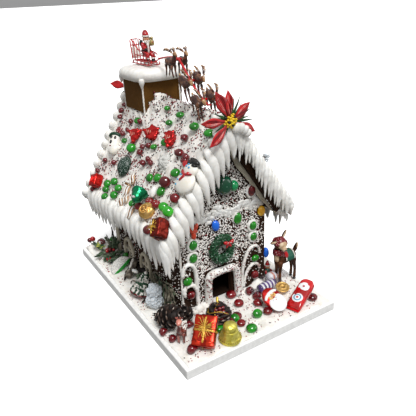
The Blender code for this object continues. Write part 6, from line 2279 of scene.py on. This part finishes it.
for y, colour in ((-10, 2), (10, 3)):
    for k, (size, slot) in enumerate(((8.2, 1), (6.2, colour), (4.4, 1), (2.2, 0))):
        place = packPlace @ at(0.0, y, 5.3 + 0.3 * k)
        stamp(bm, "smooth", place @ sized(size, size * 0.92, 0.9), slot)
finishPiece(
    "printedPack", bm, ["printedFilmRed", "printedWhite", "printedBlue", "boardPaper"],
    ["candy_pack"],
)


def filmSweet(bm, place, radius, half, stripes, colours):
    # a striped sweet inside twisted film
    for k in range(stripes):
        a, b = -half * 0.55 + half * 1.1 * k / stripes, -half * 0.55 + half * 1.1 * (k + 1) / stripes
        bulge = [radius * 0.84 * (1 - (z / (half * 0.75)) ** 4) ** 0.5 for z in (a, (a + b) / 2, b)]
        part = spun([(0, a), (bulge[0], a), (bulge[1], (a + b) / 2), (bulge[2], b), (0, b)], 18)
        join(bm, part, place, colours[k % 2])
    outline = [
        (0, -half * 0.66), (radius * 0.35, -half * 0.66), (radius * 0.92, -half * 0.5),
        (radius, -half * 0.2), (radius, half * 0.2), (radius * 0.92, half * 0.5),
        (radius * 0.35, half * 0.66), (0, half * 0.66),
    ]
    part = spun(outline, 24)
    ruffle(part, 1.0, 3.0)
    join(bm, part, place)
    for end in (-1, 1):
        part = bmesh.new()
        bmesh.ops.create_grid(part, x_segments=26, y_segments=5, size=1.0)
        for vert in part.verts:
            turn, out = vert.co.x * math.pi, (vert.co.y + 1) / 2
            pleat = 1 + 0.24 * math.sin(turn * 9)
            reach = (0.25 + 0.7 * out) * radius * pleat
            vert.co = Vector(
                (
                    reach * math.cos(turn), reach * math.sin(turn) * 0.45,
                    end * (half * 0.62 + (half * 0.36) * out),
                )
            )
        bmesh.ops.remove_doubles(part, verts=part.verts, dist=0.01)
        bmesh.ops.recalc_face_normals(part, faces=part.faces)
        bmesh.ops.solidify(part, geom=part.faces[:], thickness=0.25)
        join(bm, part, place)


bm = bmesh.new()
filmSweet(bm, at(60, -116, foot + 8.4, turn=-86, tip=90), 8.2, 27, 9, (1, 2))
filmSweet(bm, at(86, -102, foot + 9.5, turn=-80, tip=80), 9.0, 24, 7, (2, 3))
finishPiece(
    "filmSweets", bm, ["clearFilm", "printedPurple", "printedWhite", "toyPink"],
    ["wrapped_candy"],
)

bm = bmesh.new()
coin = {"spot": (76, -134), "turn": -16, "lean": 14, "size": 0.86, "notches": 40}
coinPlace = at(*coin["spot"], foot + 9.6, coin["turn"], coin["lean"]) @ Matrix.Scale(coin["size"], 4)
part = spun(
    [
        (0, 0.9), (4.0, 0.95), (4.4, 1.35), (5.2, 1.35), (5.6, 0.95), (9.6, 0.95), (10.2, 1.5), (11.6, 1.4),
        (12, 0.6), (12, -0.6), (11.6, -1.4), (0, -1.2),
    ],
    36,
)
join(bm, part, coinPlace)
for k in range(coin["notches"]):
    turn = k / coin["notches"] * math.tau
    stamp(bm, "needle", coinPlace @ at(*onCircle(turn, 11.9, 0)) @ sized(0.35, 0.35, 1.3))
finishPiece("goldCoin", bm, ["goldFoil"], ["gold_coin"])

# the fawn, in a knitted cap, a scarf and a plaid rug
fawn = {"spot": (100.5, -110)}
fawnPlace = at(*fawn["spot"], foot)
bm = bmesh.new()
# 0 brown, 1 cream, 2 black (nose, eyes and hooves)


def fawnPart(shape, points, widths, slot=0, side=(0, 1, 0), flat=1.0):
    draw(bm, shape, points, widths, side, flat, place=fawnPlace, slot=slot)


fawnPart(
    "smooth", [(18.5, 0, 43.5), (8, 0, 43.5), (-6, 0, 41.5), (-16, 0, 45)],
    (4.5, 8.6, 8.8, 8.2, 8.8, 9.0, 7.6, 4.4), 0, (0, 1, 0), 1.05,
)
fawnPart(
    "smooth", [(-10, 0, 44), (-14, -1, 55), (-15, -2, 66)], (7.0, 7.4, 6.4, 5.4, 5.0, 4.8), 0, (0, 1, 0),
    1.0,
)
fawnPart(
    "stroke", [(-17.5, -1.5, 40), (-19.6, -2.0, 50), (-18.0, -3.5, 60)], (2.5, 4.6, 5.0, 4.0, 2.4), 1,
    (0, 1, 0), 0.7,
)
stamp(bm, "smooth", fawnPlace @ at(-14, -3.5, 71.5) @ sized(9.4, 10.0, 9.6))
fawnPart(
    "stroke", [(-14.4, -9, 69.4), (-15.4, -15, 67.4), (-15.8, -19.2, 66.2)], (5.4, 5.6, 4.8, 4.0, 3.2, 2.2),
    1, (1, 0, 0), 0.86,
)
stamp(bm, "smooth", fawnPlace @ at(-14.6, -9.6, 71.6) @ sized(7.6, 5.8, 6.2), 1)
stamp(bm, "bead", fawnPlace @ at(-15.9, -19.6, 67.0) @ sized(1.7, 1.2, 1.2), 2)
for x in (-18.6, -10.6):
    stamp(bm, "bead", fawnPlace @ at(x, -12.4, 73.2) @ sized(1.3, 1.0, 1.8), 2)
    stamp(bm, "grain", fawnPlace @ at(x + 0.4, -13.4, 74.0) @ sized(0.4, 0.3, 0.4), 1)
for points in ([(-20, -3, 75), (-27, -4, 77), (-34, -5, 79)], [(-9, -2, 79), (-3, 0, 83.5), (1.6, 1.6, 88)]):
    fawnPart("stroke", points, (2.2, 3.6, 4.0, 3.0, 0.6), 0, (0.5, 0.3, -0.8), 0.5)
    shift = [(x, y - 1.5, z) for x, y, z in points]
    fawnPart("rod", shift, (1.2, 2.3, 2.6, 1.8, 0.3), 1, (0.5, 0.3, -0.8), 0.4)
fawnPart("stroke", [(17, 0, 47), (21, 0, 53), (23, 0, 60.4)], (2.6, 3.2, 3.2, 2.2, 0.8), 0, (0, 1, 0), 1.0)
fawnPart(
    "rod", [(19.6, -1.5, 51), (22.0, -1.4, 56), (23.4, -0.8, 60.6)], (1.2, 2.2, 2.2, 1.0), 1, (0, 1, 0),
    0.6,
)
for x, y, bow in ((13, -5, 3), (14.5, 5, 3), (-13, -5, -1), (-11.5, 5, -1)):
    path = [(x - 1, y * 0.9, 42), (x + bow * 0.2, y, 30), (x + bow * 1.1, y, 20), (x + bow * 0.8, y, 2)]
    fawnPart("stroke", path, (4.6, 4.6, 3.4, 2.5, 2.4, 2.2, 2.5, 2.7), 0, (0, 1, 0), 1.0)
    stamp(bm, "bead", fawnPlace @ at(x + bow * 0.8, y, 1.6) @ sized(2.9, 2.5, 1.8), 2)
finishPiece("fawnFigure", bm, ["mouldedFawn", "mouldedCream", "paintedBlack"], ["fawn"])
bm = bmesh.new()
part = bmesh.new()
bmesh.ops.create_uvsphere(part, u_segments=28, v_segments=14, radius=10.3)
bmesh.ops.bisect_plane(
    part, geom=part.verts[:] + part.edges[:] + part.faces[:], plane_co=(0, 0, 1.5), plane_no=(0, -0.25, 1),
    clear_inner=True,
)
bmesh.ops.holes_fill(part, edges=[e for e in part.edges if e.is_boundary], sides=0)
ruffle(part, 0.7, 1.6)
join(bm, part, fawnPlace @ at(-14, -3.2, 71.8))
ring = [
    (
        10.0 * math.cos(k * 0.63), -3.4 + 10.4 * math.sin(k * 0.63),
        74.0 + 0.23 * -10 * math.sin(k * 0.63) * -1.0,
    )
    for k in range(11)
]
draw(bm, "rope", ring, [1.7] * 6, (0, 0, 1), 1.0, 0.08, place=fawnPlace @ at(-14, 0, 0))
scarf = [(7.4 * math.cos(k * 0.63), 7.2 * math.sin(k * 0.63), 0.9 * math.sin(k * 1.3)) for k in range(11)]
draw(bm, "rope", scarf, [3.6] * 6, (0, 0, 1), 0.62, 0.06, place=fawnPlace @ at(-14.4, -1.6, 58.5))
draw(
    bm, "rope", scarf, [2.6] * 6, (0, 0, 1), 0.7, 0.06,
    place=fawnPlace @ at(-14.6, -1.8, 55.0) @ Matrix.Scale(1.06, 4),
)
for dy, dz in ((-7.6, -6), (-6.0, -9)):
    draw(
        bm, "stroke", [(0, 0, 0), (1.4, -1.2, dz * 0.5), (1.8, -0.6, dz - 2)], (2.2, 2.8, 3.0, 2.8, 2.2),
        flat=0.4, place=fawnPlace @ at(-11.0, dy, 57),
    )
draw(
    bm, "stroke", [(0, 0, 3), (2.4, -1.2, -3), (3.4, -0.6, -9)], (2.2, 3.0, 3.2, 3.0, 2.2), flat=0.5,
    place=fawnPlace @ at(-8.0, -8.4, 55), slot=1,
)
finishPiece("fawnCapAndScarf", bm, ["redGlitter", "bowSugarRed"])
bm = bmesh.new()
part = bmesh.new()
bmesh.ops.create_grid(part, x_segments=14, y_segments=20, size=1.0)
for vert in part.verts:
    turn = vert.co.y * 1.75
    x = 2.5 + vert.co.x * (7.4 + 0.5 * math.sin(turn * 4))
    droop = 1.0 + 0.05 * abs(vert.co.y)
    vert.co = Vector(
        (x, 9.9 * math.sin(turn) * droop, 42.6 + 10.2 * math.cos(turn) * (1.0 if abs(turn) < 1.57 else 1.5))
    )
bmesh.ops.recalc_face_normals(part, faces=part.faces)
bmesh.ops.solidify(part, geom=part.faces[:], thickness=0.8)
join(bm, part, fawnPlace)
for x in (-5.6, 10.4):  # a pale woven edge
    hem = [(x, 10.6 * math.sin(t * 0.42 - 1.7), 42.8 + 10.8 * math.cos(t * 0.42 - 1.7)) for t in range(9)]
    draw(bm, "rope", hem, [0.9] * 6, place=fawnPlace, slot=1)
finishPiece("fawnRug", bm, ["plaidGreenCloth", "paintedFurWhite"])

# a small figure in the corner behind the fawn
bm = bmesh.new()
elf = at(84, -88, foot)
furDabs = 10
part = spun([(0, 0), (5.4, 0), (5.8, 4), (4.6, 12), (2.8, 17), (0, 17.6)], 16)
ruffle(part, 0.8, 2.0)
join(bm, part, elf)
stamp(bm, "ball", elf @ at(0, 0, 20.5) @ sized(3.8, 3.8, 4.0), 1)
draw(bm, "rod", [(0, 0, 22.5), (0, 0.5, 27), (2.0, 1.5, 30)], (3.9, 3.4, 2.2, 0.9), place=elf, slot=2)
draw(bm, "rod", [(-4, -1, 15), (-6, -4, 11), (-3, -6, 9)], (1.6, 1.9, 1.7, 1.4), (0, 0, 1), place=elf, slot=2)
draw(bm, "rod", [(4, -1, 15), (6, -4, 11), (3, -6, 9)], (1.6, 1.9, 1.7, 1.4), (0, 0, 1), place=elf, slot=2)
for k in range(furDabs):
    turn = k / furDabs * math.tau
    stamp(bm, "lump1", elf @ at(*onCircle(turn, 5.6, 1.4)) @ sized(1.7, 1.7, 1.5), 3)
    stamp(bm, "lump2", elf @ at(*onCircle(turn, 3.7, 23.0)) @ sized(1.1, 1.1, 0.9), 3)
for x in (-1.2, 1.2):
    stamp(bm, "grain", elf @ at(x, -3.6, 21.2) @ sized(0.45, 0.3, 0.5), 4)
finishPiece(
    "cornerFigure", bm,
    ["greenGlitter", "paintedSkin", "paintedSuitRed", "paintedFurWhite", "paintedBlack"],
)

# a heap of icing between the cones and the door, and a spun-sugar star on the far rake
bm = bmesh.new()
for x, y, z, wide, long, high in (
    (-50, -102, 2, 10, 7, 7.5), (-41, -99, 2, 8, 6, 6.5), (-59, -101, 1, 8, 6, 6.5),
    (-45, -111, 0, 7, 6, 3.6), (-65, -118, 0, 6, 8, 5.0),
):
    stamp(bm, f"lump{abs(x) % 3}", at(x, y, foot + z + 1.5, turn=x * 7) @ sized(wide, long, high))
finishPiece("doorHeap", bm, ["spreadRoyalIcing"])
bm = bmesh.new()
sugarStar = {"middle": (64, -106, 225), "spines": 14}
for k in range(sugarStar["spines"]):
    turn, rise = k * goldenTurn, 0.5 * math.sin(k * 1.7)
    heading = Vector((0.35 * math.sin(turn * 3), math.cos(turn), math.sin(turn))) * (8.0 + 2.5 * rise)
    star = Vector(sugarStar["middle"])
    draw(bm, "needle", [star, star + heading * 0.6, star + heading], (1.6, 2.2, 0.4), flat=0.7)
finishPiece("sugarStar", bm, ["snowGlitter"])


# camera, light and floor

view = {
    "place": (-328.85, -593.21, 429.95),
    "turn": -30.97,  # degrees round from the front, to the left
    "lift": 24.21,  # degrees above the horizon
    "roll": -2.66,
    "lens": 41.29,
    "shift": (0.0074, 0.0040),
}
turn, lift, roll = (math.radians(view[key]) for key in ("turn", "lift", "roll"))
right = Vector((math.cos(turn), math.sin(turn), 0))
up = Vector((math.sin(turn) * -math.sin(lift), math.cos(turn) * math.sin(lift), math.cos(lift)))
back = Vector((math.sin(turn) * math.cos(lift), -math.cos(turn) * math.cos(lift), math.sin(lift)))
right, up = right * math.cos(roll) + up * math.sin(roll), up * math.cos(roll) - right * math.sin(roll)
camera = bpy.data.objects.new("camera", bpy.data.cameras.new("camera"))
bpy.context.scene.collection.objects.link(camera)
camera.data.sensor_width, camera.data.lens = 36.0, view["lens"]
camera.data.shift_x, camera.data.shift_y = view["shift"]
camera.matrix_world = Matrix.Translation(
    Vector(view["place"]) * mm
) @ Matrix((right, up, back)).transposed().to_4x4()
bpy.context.scene.camera = camera

studio = {
    "sky": (0.26, 0.66),  # from just under the horizon to straight above
    "suns": (  # which way the light comes from, its strength in W/m2, and its width in degrees
        ((-0.12, -0.5, 0.86), 2.55, 19.0),
        ((0.8, -0.5, 0.35), 0.4, 30.0),
    ),
    "floor": "FFFFFF",
    "lift": 0.32,
}
world = bpy.data.worlds.new("studio")
bpy.context.scene.world = world
world.use_nodes = True
skyTree = world.node_tree
skyWay = addNode(
    skyTree, "ShaderNodeSeparateXYZ", None,
    {0: addNode(skyTree, "ShaderNodeTexCoord").outputs["Generated"]},
)
skyGlow = addNode(
    skyTree, "ShaderNodeMapRange",
    {"From Min": -0.15, "From Max": 0.9, "To Min": studio["sky"][0], "To Max": studio["sky"][1]},
    {"Value": skyWay.outputs["Z"]},
)
skyTree.nodes["Background"].inputs["Color"].default_value = (1.0, 1.0, 1.0, 1.0)
skyTree.links.new(skyGlow.outputs["Result"], skyTree.nodes["Background"].inputs["Strength"])
for i, (direction, power, width) in enumerate(studio["suns"]):
    lamp = bpy.data.objects.new(f"lamp{i}", bpy.data.lights.new(f"lamp{i}", "SUN"))
    bpy.context.scene.collection.objects.link(lamp)
    lamp.data.energy, lamp.data.angle = power, math.radians(width)
    lamp.rotation_euler = (-Vector(direction)).to_track_quat("-Z", "Y").to_euler()
bpy.context.scene.view_settings.view_transform = "Standard"

bm = bmesh.new()
bmesh.ops.create_grid(bm, x_segments=1, y_segments=1, size=60.0)
bmesh.ops.translate(bm, vec=(0, 0, -0.0004), verts=bm.verts)
mesh = bpy.data.meshes.new("floor")
bm.to_mesh(mesh)
bm.free()
floor = bpy.data.objects.new("floor", mesh)
bpy.context.scene.collection.objects.link(floor)
glow = {"Emission Color": linear(studio["floor"]), "Emission Strength": studio["lift"]}
newMaterial("paperFloor", studio["floor"], 0.9, glow)
mesh.materials.append(look["paperFloor"])
floor.visible_diffuse = False  # a white floor, without its glare on every underside
floor.visible_glossy = False

print("scene ready")
